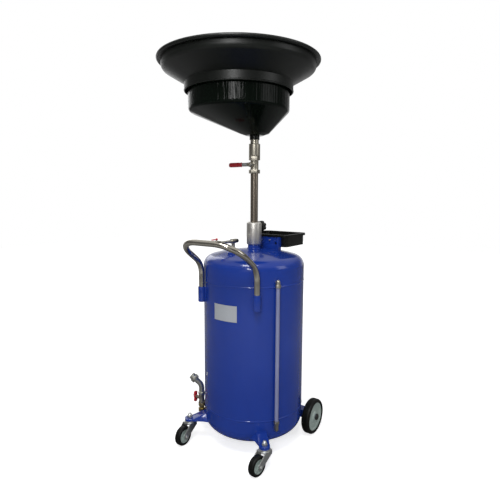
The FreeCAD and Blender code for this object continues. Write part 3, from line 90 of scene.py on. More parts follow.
# Matt studio paper: a plain white floor with no shine, mottled by faint clouds 25 mm wide. In the
# gloss of the drainer's paint and metal it shows darker near the drainer, which is painted shade.
paper, tree, shader, place = finish("matt_studio_paper", Roughness=0.9)
fibre = node(tree, "TexNoise", {"Vector": place, "Scale": every(25), "Detail": 2.0})
shade = node(tree, "MapRange", {"Value": fibre.outputs["Fac"], "To Min": 0.86, "To Max": 0.90})
rays = node(tree, "LightPath")
away = node(tree, "VectorMath", {0: place}, operation="LENGTH")
# Painted shade: for glossy rays the paper is darkened, most near the drainer.
reflected_shade = node(tree, "MapRange", {"Value": away.outputs["Value"], "From Min": 0.5, "From Max": 1.6,
                               "To Min": -0.80, "To Max": -0.40})
gloss = node(tree, "Math", {0: rays.outputs["Is Glossy Ray"], 1: reflected_shade.outputs["Result"], 2: 1.0},
             operation="MULTIPLY_ADD")
node(tree, "Math", {0: shade.outputs["Result"], 1: gloss.outputs[0]}, operation="MULTIPLY",
     into=shader.inputs["Base Color"])
# The paper glows a little for the camera, more away from the drainer.
glow = node(tree, "MapRange", {"Value": away.outputs["Value"], "From Min": 0.35, "From Max": 1.5,
                               "To Min": 0.70, "To Max": 1.0}, interpolation_type="SMOOTHSTEP")
node(tree, "Math", {0: rays.outputs["Is Camera Ray"], 1: glow.outputs["Result"]},
     operation="MULTIPLY", into=shader.inputs["Emission Strength"])
shader.inputs["Emission Color"].default_value = (1, 1, 1, 1)
bpy.ops.object.select_all(action="DESELECT")
bpy.ops.mesh.primitive_plane_add(size=14, location=(0, 0, -0.0005))
floor = bpy.context.object
floor.name = "floor"
floor.data.materials.append(paper)

world = bpy.data.worlds.new("white_surround")
world.use_nodes = True
bpy.context.scene.world = world
tree = world.node_tree
# Metal and glass see the white backdrop behind the drainer, and the dim room in front of it.
rays = node(tree, "LightPath")
mirrored = node(tree, "Math", {0: rays.outputs["Is Glossy Ray"],
                               1: rays.outputs["Is Transmission Ray"]}, operation="MAXIMUM")
way = node(tree, "TexCoord").outputs["Generated"]
behind = node(tree, "VectorMath", {0: way, 1: (-0.59, 0.81, 0.0)}, operation="DOT_PRODUCT")
backdrop = node(tree, "MapRange", {"Value": behind.outputs["Value"], "From Min": 0.55,
                                   "From Max": 0.98, "To Min": 0.0, "To Max": 0.72},
                interpolation_type="SMOOTHSTEP")
# A lit doorway opposite the backdrop draws a line down the middle of the tubes.
before = node(tree, "VectorMath", {0: way, 1: (0.37, -0.93, 0.0)}, operation="DOT_PRODUCT")
door = node(tree, "MapRange", {"Value": before.outputs["Value"], "From Min": 0.93,
                               "From Max": 0.99, "To Min": 0.0, "To Max": 0.5},
            interpolation_type="SMOOTHSTEP")
backdrop = node(tree, "Math", {0: backdrop.outputs["Result"], 1: door.outputs["Result"]},
                operation="ADD")
# Both end a little above the horizon, the ceiling is brighter than the walls, and the room is
# darker towards the left.
split = node(tree, "SeparateXYZ", {"Vector": way})
top = node(tree, "MapRange", {"Value": split.outputs["Z"], "From Min": 0.03, "From Max": 0.28,
                              "To Min": 1.0, "To Max": 0.2}, interpolation_type="SMOOTHSTEP")
ceiling = node(tree, "MapRange", {"Value": split.outputs["Z"], "From Min": 0.30, "From Max": 0.75,
                                  "To Min": 0.14, "To Max": 0.65}, interpolation_type="SMOOTHSTEP")
backdrop = node(tree, "Math", {0: backdrop.outputs[0], 1: top.outputs["Result"],
                               2: ceiling.outputs["Result"]}, operation="MULTIPLY_ADD")
right = node(tree, "MapRange", {"Value": split.outputs["X"], "From Min": -0.9, "From Max": 0.5,
                                "To Min": 0.10, "To Max": 0.28}, interpolation_type="SMOOTHSTEP")
dim = node(tree, "Math", {0: mirrored.outputs[0], 1: 0.3}, operation="LESS_THAN")
level = node(tree, "Math", {0: mirrored.outputs[0], 1: backdrop.outputs[0]},
             operation="MULTIPLY")
level = node(tree, "Math", {0: dim.outputs[0], 1: right.outputs[0], 2: level.outputs[0]},
             operation="MULTIPLY_ADD")
node(tree, "Math", {0: level.outputs[0], 1: rays.outputs["Is Camera Ray"]},
     operation="MAXIMUM", into=tree.nodes["Background"].inputs["Strength"])
tree.nodes["Background"].inputs["Color"].default_value = (1, 1, 1, 1)

# The soft boxes all point at the drainer's waist, halfway up its height.
WAIST = Vector((0, 0, 0.75))
for name, spot, size, power in (("key_box", (1.3, -2.8, 2.2), (0.4, 1.1), 30),
                                ("side_box", (-2.5, 1.4, 1.9), (1.4, 1.4), 9),
                                ("fill_box", (3.0, 0.6, 1.9), (1.2, 1.4), 10),
                                ("top_box", (0.6, -1.4, 3.0), (1.2, 0.8), 40)):
    lamp = bpy.data.lights.new(name, "AREA")
    lamp.shape = "RECTANGLE"
    lamp.size, lamp.size_y = size
    lamp.energy = power
    holder = bpy.data.objects.new(name, lamp)
    bpy.context.scene.collection.objects.link(holder)
    holder.location = spot
    aim = WAIST - holder.location
    holder.rotation_euler = aim.to_track_quat("-Z", "Y").to_euler()

# The camera looks 34 degrees to the left of straight back and 7.14 degrees down, tilted a little.
HEADING, DOWN, TILT = 34, 7.14, 0.32
lens = bpy.data.cameras.new("camera")
lens.sensor_width = 36
lens.lens = 32.203
lens.shift_x, lens.shift_y = -0.0079, -0.0024
camera = bpy.data.objects.new("camera", lens)
bpy.context.scene.collection.objects.link(camera)
camera.location = (1.0153, -1.3992, 1.0047)
camera.rotation_euler = (Matrix.Rotation(math.radians(HEADING), 4, "Z")
                         @ Matrix.Rotation(math.radians(90 - DOWN), 4, "X")
                         @ Matrix.Rotation(math.radians(TILT), 4, "Z")).to_euler()
bpy.context.scene.camera = camera
bpy.context.scene.view_settings.view_transform = "Standard"

# ---------------------------------------------------------------- tank
# The pressure tank: a rolled shell between two dished steel heads, joined by two weld beads and
# sprayed with gloss alkyd enamel. A bare foil plate for the data label is stuck to its front.

# The line up the middle of the post and the tank, and the tank's outer radius.
AXIS = (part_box("post_tube")[0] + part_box("post_tube")[1]) / 2
AXIS.z = 0
TANK = (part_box("tank_shell")[1].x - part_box("tank_shell")[0].x) / 2
NODES = frame["nodes"]


def linear(code):
    """A colour written as sRGB hex, such as 253A8C, as linear red, green, blue and alpha."""
    parts = [int(code[at:at + 2], 16) / 255 for at in (0, 2, 4)]
    return tuple(v / 12.92 if v <= 0.04045 else ((v + 0.055) / 1.055) ** 2.4 for v in parts) + (1,)


def coat(material, *names):
    """Give CAD nodes a material."""
    for name in names:
        NODES[name].data.materials.clear()
        NODES[name].data.materials.append(material)


def start(kind, **sizes):
    """Add a mesh primitive with nothing else selected."""
    bpy.ops.object.select_all(action="DESELECT")
    getattr(bpy.ops.mesh, f"primitive_{kind}_add")(**sizes)
    return bpy.context.object


def choose(piece, chosen, kind="FACE"):
    """Open a piece for editing with the faces or corners selected where chosen(place, normal)."""
    bpy.ops.object.mode_set(mode="EDIT")
    bpy.ops.mesh.select_mode(type=kind)
    bpy.ops.mesh.select_all(action="DESELECT")
    bpy.ops.object.mode_set(mode="OBJECT")
    if kind == "FACE":
        for face in piece.data.polygons:
            face.select = bool(chosen(face.center, face.normal))
    else:
        for corner in piece.data.vertices:
            corner.select = bool(chosen(corner.co, corner.normal))
    bpy.ops.object.mode_set(mode="EDIT")


def settle(piece, name, material, body, *stands_for, middle=(0, 0, 0), turn=None, smooth=35):
    """Put a finished piece in its place, with its material, its body and the nodes it replaces."""
    if bpy.context.mode != "OBJECT":
        bpy.ops.object.mode_set(mode="OBJECT")
    piece.matrix_world = Matrix.Translation(middle) @ (turn or Matrix()) @ piece.matrix_world
    bpy.ops.object.select_all(action="DESELECT")
    piece.select_set(True)
    bpy.context.view_layer.objects.active = piece
    bpy.ops.object.transform_apply(location=True, rotation=True, scale=True)
    bpy.ops.object.mode_set(mode="EDIT")
    bpy.ops.mesh.select_all(action="SELECT")
    bpy.ops.mesh.remove_doubles(threshold=0.000005)
    bpy.ops.mesh.normals_make_consistent(inside=False)
    bpy.ops.object.mode_set(mode="OBJECT")
    bpy.ops.object.shade_smooth_by_angle(angle=math.radians(smooth))
    piece.name = name
    piece.data.materials.clear()
    piece.data.materials.append(material)
    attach(piece, body)
    if stands_for:
        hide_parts(*stands_for)
    return piece


# Gloss enamel over primed steel: a deep wet blue under clear highlights, which ripple like orange
# peel in waves about 4 mm wide.
enamel, tree, shader, place = finish("blue_gloss_enamel", Roughness=0.2, IOR=1.5,
                                     Specular_IOR_Level=0.36, Coat_Weight=0.4, Coat_Roughness=0.03)
cloud = node(tree, "TexNoise", {"Vector": place, "Scale": every(166.7), "Detail": 3.0})
tone = node(tree, "ValToRGB", {"Fac": cloud.outputs["Fac"]}, into=shader.inputs["Base Color"])
tone.color_ramp.elements[0].color = linear("14328A")
tone.color_ramp.elements[1].color = linear("1C3C98")
peel = node(tree, "TexNoise", {"Vector": place, "Scale": every(4), "Detail": 1.0})
node(tree, "Bump", {"Height": peel.outputs["Fac"], "Distance": 0.06 / 1000},
     into=shader.inputs["Normal"])
coat(enamel, "tank_shell", "upper_head", "lower_head")

# Brushed aluminium foil under a matt clear lacquer: a silky pale grey that shines only in part like
# metal, in level lines 25 mm long. They are about 0.1 mm apart, and drawn 0.4 mm apart to show.
foil, tree, shader, place = finish("brushed_aluminium_foil", Metallic=0.35, Roughness=0.5)
turned = node(tree, "Mapping", {"Vector": place, "Scale": (every(25), every(25), every(0.4))})
brush = node(tree, "TexNoise", {"Vector": turned.outputs["Vector"], "Scale": 1.0, "Detail": 3.0})
tone = node(tree, "ValToRGB", {"Fac": brush.outputs["Fac"]}, into=shader.inputs["Base Color"])
tone.color_ramp.elements[0].color = linear("AEB3BA")
tone.color_ramp.elements[1].color = linear("CDD1D6")
node(tree, "Bump", {"Height": brush.outputs["Fac"], "Distance": 0.02 / 1000},
     into=shader.inputs["Normal"])

# The plate is 100 mm long and rolled to the shell, with a pressed-in panel and no print.
LABEL_HIGH, LABEL_THICK = 0.061, 0.0005
LABEL_SPREAD, LABEL_BEARING = 28.8, -88.1  # degrees round the tank, and from +X to its middle
LABEL_MIDDLE = Vector((AXIS.x, AXIS.y, 0.5635))
LABEL_BORDER, LABEL_SUNK = 0.003, 0.0002
plate = start("plane", size=1)
bpy.ops.object.mode_set(mode="EDIT")
bpy.ops.transform.resize(value=(LABEL_THICK, LABEL_HIGH, 1))
bpy.ops.transform.rotate(value=math.radians(90), orient_axis="X", center_override=(0, 0, 0))
bpy.ops.transform.translate(value=LABEL_MIDDLE)
bpy.ops.transform.translate(value=(TANK + 0.0004, 0, 0))
bpy.ops.mesh.spin(steps=28, angle=math.radians(LABEL_SPREAD), center=(AXIS.x, AXIS.y, 0),
                  axis=(0, 0, 1))
choose(plate, lambda spot, way: (spot - AXIS).xy.length > TANK + 0.0006 and abs(way.z) < 0.3)
bpy.ops.mesh.inset(thickness=LABEL_BORDER, depth=-LABEL_SUNK, use_boundary=True)
bpy.ops.object.mode_set(mode="OBJECT")
around = (Matrix.Translation(AXIS)
          @ Matrix.Rotation(math.radians(LABEL_BEARING + LABEL_SPREAD / 2), 4, "Z")
          @ Matrix.Translation(-AXIS))
settle(plate, "label_place", foil, "tank", turn=around)


# ---------------------------------------------------------------- casters
# Two pressed steel arms, welded to the lower head and enamelled with it, hold bright zinc plated
# swivel casters with black rubber tyres on ribbed grey nylon hubs.

def apply(piece, kind, **settings):
    """Add a modifier to a piece and apply it."""
    bpy.ops.object.mode_set(mode="OBJECT")
    modifier = piece.modifiers.new(kind.lower(), kind)
    for name, value in settings.items():
        setattr(modifier, name, value)
    bpy.context.view_layer.objects.active = piece
    bpy.ops.object.modifier_apply(modifier=modifier.name)


def eased(name, body, material, radius, smooth=35):
    """The twin of a CAD node with its sharp edges eased to a radius in millimetres."""
    source = NODES[name]
    twin = source.copy()
    twin.data = source.data.copy()
    twin.parent = None
    twin.matrix_world = Matrix()
    bpy.context.scene.collection.objects.link(twin)
    bpy.ops.object.select_all(action="DESELECT")
    twin.select_set(True)
    bpy.context.view_layer.objects.active = twin
    bpy.ops.mesh.customdata_custom_splitnormals_clear()
    bpy.ops.object.mode_set(mode="EDIT")
    bpy.ops.mesh.select_all(action="SELECT")
    bpy.ops.mesh.remove_doubles(threshold=0.00001)
    bpy.ops.mesh.dissolve_limited(angle_limit=math.radians(0.5))
    apply(twin, "BEVEL", width=radius / 1000, segments=3, limit_method="ANGLE",
          angle_limit=math.radians(38), use_clamp_overlap=True)
    return settle(twin, name + "_eased", material, body, name, smooth=smooth)


for side in ("left", "right"):
    eased(f"caster_arm_{side}", "tank", enamel, 2.0)

# Bright zinc plate: pale silver, in faint cells 5.6 mm across, and blurred in patches 11 mm wide
# where it has been handled.
zinc, tree, shader, place = finish("bright_zinc_plate", Metallic=1.0, Roughness=0.36)
spangle = node(tree, "TexVoronoi", {"Vector": place, "Scale": every(5.5556)})
tone = node(tree, "ValToRGB", {"Fac": spangle.outputs["Distance"]}, into=shader.inputs["Base Color"])
tone.color_ramp.elements[0].color = linear("C6C8C8")
tone.color_ramp.elements[1].color = linear("DEDFDC")
rub = node(tree, "TexNoise", {"Vector": place, "Scale": every(11.111), "Detail": 3.0})
node(tree, "MapRange", {"Value": rub.outputs["Fac"], "To Min": 0.32, "To Max": 0.50},
     into=shader.inputs["Roughness"])
node(tree, "Bump", {"Height": rub.outputs["Fac"], "Distance": 0.04 / 1000},
     into=shader.inputs["Normal"])
eased("caster_studs", "tank", zinc, 0.5)


def grown(rings, corners=32):
    """Grow a closed round piece along +Z through rings of (radius, height) in metres."""
    piece = start("circle", vertices=corners, radius=rings[0][0], fill_type="NGON")
    bpy.ops.object.mode_set(mode="EDIT")
    bpy.ops.mesh.select_all(action="SELECT")
    bpy.ops.transform.translate(value=(0, 0, rings[0][1]))
    for (before, low), (after, high) in zip(rings, rings[1:]):
        bpy.ops.mesh.extrude_region_move(TRANSFORM_OT_translate={"value": (0, 0, high - low)})
        if after != before:
            bpy.ops.transform.resize(value=(after / before, after / before, 1),
                                     center_override=(0, 0, high))
    bpy.ops.object.mode_set(mode="OBJECT")
    return piece


def thread(root, crest, length, pitch):
    """Rings for grown() that draw a screw thread."""
    count = round(length / pitch)
    return [(crest if step % 2 else root, step * pitch / 2) for step in range(2 * count + 1)]


def merge(pieces):
    """Join pieces into the first of them."""
    bpy.ops.object.select_all(action="DESELECT")
    for piece in pieces:
        piece.select_set(True)
    bpy.context.view_layer.objects.active = pieces[0]
    bpy.ops.object.join()
    return pieces[0]


def repeated(piece, count):
    """A piece and its copies round the Z axis, as one."""
    pieces = [piece]
    for step in range(1, count):
        copy = piece.copy()
        copy.data = piece.data.copy()
        bpy.context.scene.collection.objects.link(copy)
        copy.matrix_world = Matrix.Rotation(math.tau * step / count, 4, "Z") @ piece.matrix_world
        pieces.append(copy)
    return merge(pieces)


# Vulcanised rubber: dull black, a shade paler in patches of dust 22 mm wide, with no clear
# highlight. Its skin is finer than 0.3 mm, and drawn 1.1 mm coarse so that it shows.
rubber, tree, shader, place = finish("vulcanised_rubber", Roughness=0.45, Specular_IOR_Level=0.2)
dust = node(tree, "TexNoise", {"Vector": place, "Scale": every(22.222), "Detail": 5.0})
tone = node(tree, "ValToRGB", {"Fac": dust.outputs["Fac"]}, into=shader.inputs["Base Color"])
tone.color_ramp.elements[0].color = linear("060706")
tone.color_ramp.elements[1].color = linear("131412")
grit = node(tree, "TexNoise", {"Vector": place, "Scale": every(1.1111), "Detail": 2.0})
node(tree, "Bump", {"Height": grit.outputs["Fac"], "Distance": 0.12 / 1000},
     into=shader.inputs["Normal"])
coat(rubber, "caster_tyre_left", "caster_tyre_right", "wiper_seal")

# Glass-filled nylon, injection moulded: a flat cool grey, clouded where the melt flowed. The
# spark-eroded grain of the mould is about 0.2 mm, and drawn 0.7 mm coarse so that it shows.
nylon, tree, shader, place = finish("moulded_grey_nylon", Roughness=0.48)
flow = node(tree, "TexNoise", {"Vector": place, "Scale": every(28.571), "Detail": 3.0})
tone = node(tree, "ValToRGB", {"Fac": flow.outputs["Fac"]}, into=shader.inputs["Base Color"])
tone.color_ramp.elements[0].color = linear("8A9A94")
tone.color_ramp.elements[1].color = linear("A6B3AE")
grain = node(tree, "TexNoise", {"Vector": place, "Scale": every(0.71429), "Detail": 1.0})
node(tree, "Bump", {"Height": grain.outputs["Fac"], "Distance": 0.05 / 1000},
     into=shader.inputs["Normal"])
coat(nylon, "caster_hub_left", "caster_hub_right", "wheel_hub_left", "wheel_hub_right")

for side in ("left", "right"):
    eased(f"caster_fork_{side}", f"{side}_fork", zinc, 0.9)
    eased(f"caster_axle_{side}", f"{side}_fork", zinc, 0.5)

    # Rolled thread of the stud above its nut, 13.2 mm over its crests, with a pitch of 1.25 mm.
    joint = next(item for item in frame["joints"] if item["name"] == f"{side}_caster_swivel")
    pivot = Vector(joint["pos_m"])
    thread_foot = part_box("caster_studs")[1].z - 0.0088
    rings = thread(root=0.00605, crest=0.0066, length=0.0075, pitch=0.00125)
    turns = grown([(0.0052, 0)] + [(radius, height + 0.0004) for radius, height in rings],
                  corners=28)
    settle(turns, f"stud_thread_{side}", zinc, "tank", smooth=25,
           middle=(pivot.x, pivot.y, thread_foot))

    # Pressed cup over the upper ball race, with a rolled lip.
    cup = grown([(0.0175, -0.0065), (0.0205, -0.0062), (0.0222, -0.0048), (0.0226, -0.0028),
                 (0.0222, -0.0008), (0.0212, 0.0003), (0.0195, 0.0005)], corners=48)
    settle(cup, f"race_cup_{side}", zinc, f"{side}_fork", middle=(pivot.x, pivot.y, pivot.z))

    # Five moulded ribs on each face of the hub, wider towards the rim.
    rib_long, rib_wide, rib_deep = 0.0128, 0.0026, 0.0032
    rib_middle, rib_end, rib_face = 0.0160, 0.0224, 0.0096
    tyre_low, tyre_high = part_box(f"caster_tyre_{side}")
    middle = (tyre_low + tyre_high) / 2
    roll = next(item for item in frame["joints"] if item["name"] == f"{side}_caster_roll")
    along = Vector(roll["axis"]).to_track_quat("Z", "Y").to_matrix().to_4x4()
    ribs = []
    for face in (1, -1):
        rib = start("cube", size=1)
        bpy.ops.object.mode_set(mode="EDIT")
        bpy.ops.transform.resize(value=(rib_long, rib_wide, rib_deep))
        bpy.ops.transform.translate(value=(rib_middle, 0, face * rib_face))
        choose(rib, lambda spot, way: way.x > 0.9)
        bpy.ops.transform.resize(value=(1, 1.7, 1), center_override=(rib_end, 0, face * rib_face))
        apply(rib, "BEVEL", width=0.0005, segments=2)
        ribs.append(repeated(rib, 5))
    settle(merge(ribs), f"hub_ribs_{side}", nylon, f"{side}_caster", middle=middle, turn=along)

# ---------------------------------------------------------------- rear wheels
# Two solid rubber tyred wheels on grey nylon discs, each held on its stub axle by a pressed cap.
# The welded brackets of the axles are enamelled with the tank.

eased("axle_brackets", "tank", enamel, 1.0)
coat(rubber, "wheel_tyre_left", "wheel_tyre_right")

# Moulded black ABS: an even charcoal with a soft highlight. The grain of the mould is about 0.2 mm,
# and drawn 0.9 mm coarse so that it shows.
cap_black, tree, shader, place = finish("moulded_black_abs", Roughness=0.38)
flow = node(tree, "TexNoise", {"Vector": place, "Scale": every(20), "Detail": 3.0})
tone = node(tree, "ValToRGB", {"Fac": flow.outputs["Fac"]}, into=shader.inputs["Base Color"])
tone.color_ramp.elements[0].color = linear("131413")
tone.color_ramp.elements[1].color = linear("1F201E")
grain = node(tree, "TexNoise", {"Vector": place, "Scale": every(0.90909), "Detail": 1.0})
node(tree, "Bump", {"Height": grain.outputs["Fac"], "Distance": 0.06 / 1000},
     into=shader.inputs["Normal"])
coat(cap_black, "wheel_caps")

# A rib moulded round the outer sidewall of each tyre.
RIB_RADIUS, RIB_THICK, RIB_OUT = 0.0628, 0.0022, 0.0174
for side, face in (("left", -1), ("right", 1)):
    low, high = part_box(f"wheel_tyre_{side}")
    middle = (low + high) / 2
    along = Vector((face, 0, 0)).to_track_quat("Z", "Y").to_matrix().to_4x4()
    ring = start("circle", vertices=8, radius=RIB_THICK / 2)
    bpy.ops.object.mode_set(mode="EDIT")
    bpy.ops.mesh.select_all(action="SELECT")
    bpy.ops.transform.rotate(value=math.radians(90), orient_axis="X", center_override=(0, 0, 0))
    bpy.ops.transform.translate(value=(RIB_RADIUS, 0, RIB_OUT))
    bpy.ops.mesh.spin(steps=96, angle=math.tau, center=(0, 0, 0), axis=(0, 0, 1))
    settle(ring, f"sidewall_rib_{side}", rubber, f"{side}_wheel", middle=middle, turn=along)

# ---------------------------------------------------------------- discharge
# Welded outlet stub with a brass double nipple, a nickel plated ball valve with a cast red
# butterfly, and a galvanised elbow that leans out to its hose coupling.

eased("drain_boss", "tank", enamel, 0.6, smooth=50)

# Nickel on forged brass: a warm grey, half blurred, and mottled by the 4.5 mm grain of the forging.
nickel, tree, shader, place = finish("nickel_plated_brass", Metallic=1.0, Roughness=0.42)
grain = node(tree, "TexNoise", {"Vector": place, "Scale": every(4.5455), "Detail": 4.0})
tone = node(tree, "ValToRGB", {"Fac": grain.outputs["Fac"]}, into=shader.inputs["Base Color"])
tone.color_ramp.elements[0].color = linear("9C978A")
tone.color_ramp.elements[1].color = linear("C4BFB2")
node(tree, "Bump", {"Height": grain.outputs["Fac"], "Distance": 0.12 / 1000},
     into=shader.inputs["Normal"])

# Machined brass: pale straw yellow, with a soft highlight crossed by the level lines of the tool,
# which are about 0.1 mm apart and drawn 0.45 mm apart so that they show.
brass, tree, shader, place = finish("machined_brass", Metallic=1.0, Roughness=0.38)
turned = node(tree, "Mapping", {"Vector": place,
                                "Scale": (every(16.667), every(16.667), every(0.45455))})
tool = node(tree, "TexNoise", {"Vector": turned.outputs["Vector"], "Scale": 1.0, "Detail": 2.0})
tone = node(tree, "ValToRGB", {"Fac": tool.outputs["Fac"]}, into=shader.inputs["Base Color"])
tone.color_ramp.elements[0].color = linear("B39B62")
tone.color_ramp.elements[1].color = linear("D6C48C")
node(tree, "Bump", {"Height": tool.outputs["Fac"], "Distance": 0.05 / 1000},
     into=shader.inputs["Normal"])

# Hot-dip galvanised malleable iron: a pale olive grey, bright but uneven, in blotches 6 mm wide.
galvanised, tree, shader, place = finish("galvanised_malleable_iron", Metallic=1.0, Roughness=0.32)
skin = node(tree, "TexNoise", {"Vector": place, "Scale": every(6.25), "Detail": 5.0})
tone = node(tree, "ValToRGB", {"Fac": skin.outputs["Fac"]}, into=shader.inputs["Base Color"])
tone.color_ramp.elements[0].color = linear("B4B5AA")
tone.color_ramp.elements[1].color = linear("E6E6DE")
node(tree, "Bump", {"Height": skin.outputs["Fac"], "Distance": 0.25 / 1000},
     into=shader.inputs["Normal"])

# Two-part enamel on a zinc die casting: a full, half glossy red, a little darker where it ran thick
# in sags 11 mm wide.
red, tree, shader, place = finish("red_enamelled_casting", Roughness=0.34)
run = node(tree, "TexNoise", {"Vector": place, "Scale": every(11.111), "Detail": 3.0})
tone = node(tree, "ValToRGB", {"Fac": run.outputs["Fac"]}, into=shader.inputs["Base Color"])
tone.color_ramp.elements[0].color = linear("B01A26")
tone.color_ramp.elements[1].color = linear("CC2B35")
node(tree, "Bump", {"Height": run.outputs["Fac"], "Distance": 0.2 / 1000},
     into=shader.inputs["Normal"])

eased("drain_nipple", "tank", brass, 0.6)
eased("drain_valve_body", "tank", nickel, 0.6)
coat(nickel, "drain_valve_ball")
eased("drain_valve_handle", "drain_handle", red, 2.0)
coat(galvanised, "drain_elbow")
eased("drain_coupling", "tank", galvanised, 0.8)


def weld_ring(name, body, middle, radius, width, turn=None, flat=0.7):
    """A laid weld bead round a joint, with ripples about 1.6 mm apart and 0.25 mm deep."""
    ripple, depth = 0.0016, 0.00025
    count = 2 * round(math.tau * radius / ripple)
    bead = start("torus", major_radius=radius, minor_radius=width / 2, major_segments=count,
                 minor_segments=8)
    bpy.ops.object.mode_set(mode="EDIT")
    bpy.ops.transform.resize(value=(1, 1, flat))
    choose(bead, lambda spot, way: round(math.atan2(spot.y, spot.x) / math.tau * count) % 2,
           "VERT")
    bpy.ops.transform.shrink_fatten(value=-depth)
    settle(bead, name, enamel, body, middle=middle, turn=turn, smooth=60)


# Fillet weld of the stub, and the malleable bead round the end of the elbow on the valve.
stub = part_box("drain_nipple")
foot = Vector(((stub[0].x + stub[1].x) / 2, (stub[0].y + stub[1].y) / 2, 0))
out = (foot - AXIS).normalized()
OUTLET_HEIGHT = 0.084
weld_ring("outlet_weld", "tank", AXIS + out * (TANK + 0.0006) + Vector((0, 0, OUTLET_HEIGHT)),
          radius=0.0116, width=0.0045, turn=out.to_track_quat("Z", "Y").to_matrix().to_4x4())
band_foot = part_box("drain_valve_body")[1].z + 0.001
band = grown([(0.0114, 0.0), (0.0134, 0.0005), (0.0139, 0.002), (0.0139, 0.009),
              (0.0134, 0.0105), (0.0114, 0.0112)], corners=40)
settle(band, "elbow_band", galvanised, "tank", middle=(foot.x, foot.y, band_foot))

# ---------------------------------------------------------------- sight gauge
# The level gauge: a clear extruded nylon tube, pushed at each end into a nickel plated brass elbow
# that is screwed into the tank, so that the oil stands as high in it as inside.

eased("sight_fittings", "tank", nickel, 0.6)

# Clear nylon, drawn opaque in the dim bluish grey that shows through it, with a narrow wet
# highlight and a faint haze in upright streaks 17 mm wide.
tube, tree, shader, place = finish("clear_nylon_tube", Roughness=0.16, IOR=1.53)
haze = node(tree, "Mapping", {"Vector": place,
                              "Scale": (every(16.667), every(16.667), every(166.7))})
haze = node(tree, "TexNoise", {"Vector": haze.outputs["Vector"], "Scale": 1.0, "Detail": 3.0})
tone = node(tree, "ValToRGB", {"Fac": haze.outputs["Fac"]}, into=shader.inputs["Base Color"])
tone.color_ramp.elements[0].color = linear("6E7399")
tone.color_ramp.elements[1].color = linear("9094B4")
node(tree, "Bump", {"Height": haze.outputs["Fac"], "Distance": 0.1 / 1000},
     into=shader.inputs["Normal"])
coat(tube, "sight_tube")

# ---------------------------------------------------------------- push handle
# One steel tube, bent cold and then nickel chromed. It stands in two steel sockets, which are
# welded upright to the shell and enamelled with it.

# Decorative chrome: mirror bright, with the long faint lines of the drawn tube under it. They are
# about 0.2 mm apart, and drawn 2 mm apart so that they show.
chrome, tree, shader, place = finish("nickel_chrome_plate", Metallic=1.0, Roughness=0.13)
lines = node(tree, "Mapping", {"Vector": place, "Scale": (every(2), every(2), every(83.333))})
lines = node(tree, "TexNoise", {"Vector": lines.outputs["Vector"], "Scale": 1.0, "Detail": 2.0})
tone = node(tree, "ValToRGB", {"Fac": lines.outputs["Fac"]}, into=shader.inputs["Base Color"])
tone.color_ramp.elements[0].color = linear("AFA99B")
tone.color_ramp.elements[1].color = linear("D4CFC4")
node(tree, "Bump", {"Height": lines.outputs["Fac"], "Distance": 0.02 / 1000},
     into=shader.inputs["Normal"])
coat(chrome, "push_handle")
eased("handle_sockets", "tank", enamel, 0.8)

# A weld bead up each side of each socket, 59 mm long, with its ripples 3.4 mm apart.
SOCKET_BEARING, BEAD_BEARING = 37.2, 3.1  # degrees from the front, and from the socket's middle
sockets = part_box("handle_sockets")
for name, side in (("left", -1), ("right", 1)):
    for edge in (-1, 1):
        rings = [(0.0012, 0.0), (0.0026, 0.001)]
        for step in range(1, 34):
            rings.append((0.0029 if step % 2 else 0.0025, 0.001 + step * 0.0017))
        rings += [(0.0025, 0.0581), (0.001, 0.059)]
        bead = grown(rings, corners=12)
        bearing = math.radians(side * SOCKET_BEARING + edge * BEAD_BEARING)
        spot = AXIS + Vector((math.sin(bearing), -math.cos(bearing), 0)) * (TANK + 0.0002)
        settle(bead, f"socket_weld_{name}_{'outer' if edge == side else 'inner'}", enamel, "tank",
               middle=(spot.x, spot.y, sockets[0].z), smooth=60)

# ---------------------------------------------------------------- air inlet
# A riser and tee on the upper head carry a relief valve behind and, in front, a pipe with a small
# ball valve and the plug for the workshop's air line.

for name in ("air_tee", "air_valve_body"):
    eased(name, "tank", nickel, 0.5)
coat(galvanised, "air_line")
eased("air_plug", "tank", zinc, 0.3)
eased("air_relief_valve", "tank", cap_black, 0.5)
eased("air_valve_lever", "air_lever", red, 0.8)

# ---------------------------------------------------------------- filler
# The filling opening: a steel boss welded into the upper head, with a moulded black plug that has a
# hexagon socket screwed into it.

eased("filler_plug", "tank", cap_black, 0.4)
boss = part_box("filler_plug")
middle = (boss[0] + boss[1]) / 2
weld_height = boss[0].z - 0.0045
weld_ring("filler_weld", "tank", (middle.x, middle.y, weld_height), radius=0.0158, width=0.005)

# ---------------------------------------------------------------- tool tray
# A vacuum formed polyethylene tray, bolted to a folded steel holder that is enamelled with the
# tank.

# Polyethylene with carbon black: a soft gloss broken up by a leather grain 1.4 mm across.
poly, tree, shader, place = finish("black_polyethylene", Roughness=0.34, Specular_IOR_Level=0.25)
cloud = node(tree, "TexNoise", {"Vector": place, "Scale": every(83.333), "Detail": 4.0})
tone = node(tree, "ValToRGB", {"Fac": cloud.outputs["Fac"]}, into=shader.inputs["Base Color"])
tone.color_ramp.elements[0].color = linear("070907")
tone.color_ramp.elements[1].color = linear("10120F")
grain = node(tree, "TexVoronoi", {"Vector": place, "Scale": every(1.4286)})
node(tree, "Bump", {"Height": grain.outputs["Distance"], "Distance": 0.05 / 1000},
     into=shader.inputs["Normal"])
eased("tool_tray", "tank", poly, 1.4)
eased("tray_holder", "tank", enamel, 1.0)
eased("tray_bolts", "tank", zinc, 0.4)

# ---------------------------------------------------------------- post and clamp
# The welded boss, the turned aluminium collar with its clamp screw and black star knob, and the
# chromed steel post that slides in them.

eased("post_boss", "tank", enamel, 0.8)
low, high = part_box("post_boss")
BOSS_STANDS = 0.0158  # above the crown of the head
weld_ring("boss_weld", "tank", (AXIS.x, AXIS.y, high.z - BOSS_STANDS), radius=(high.x - low.x) / 2,
          width=0.006)

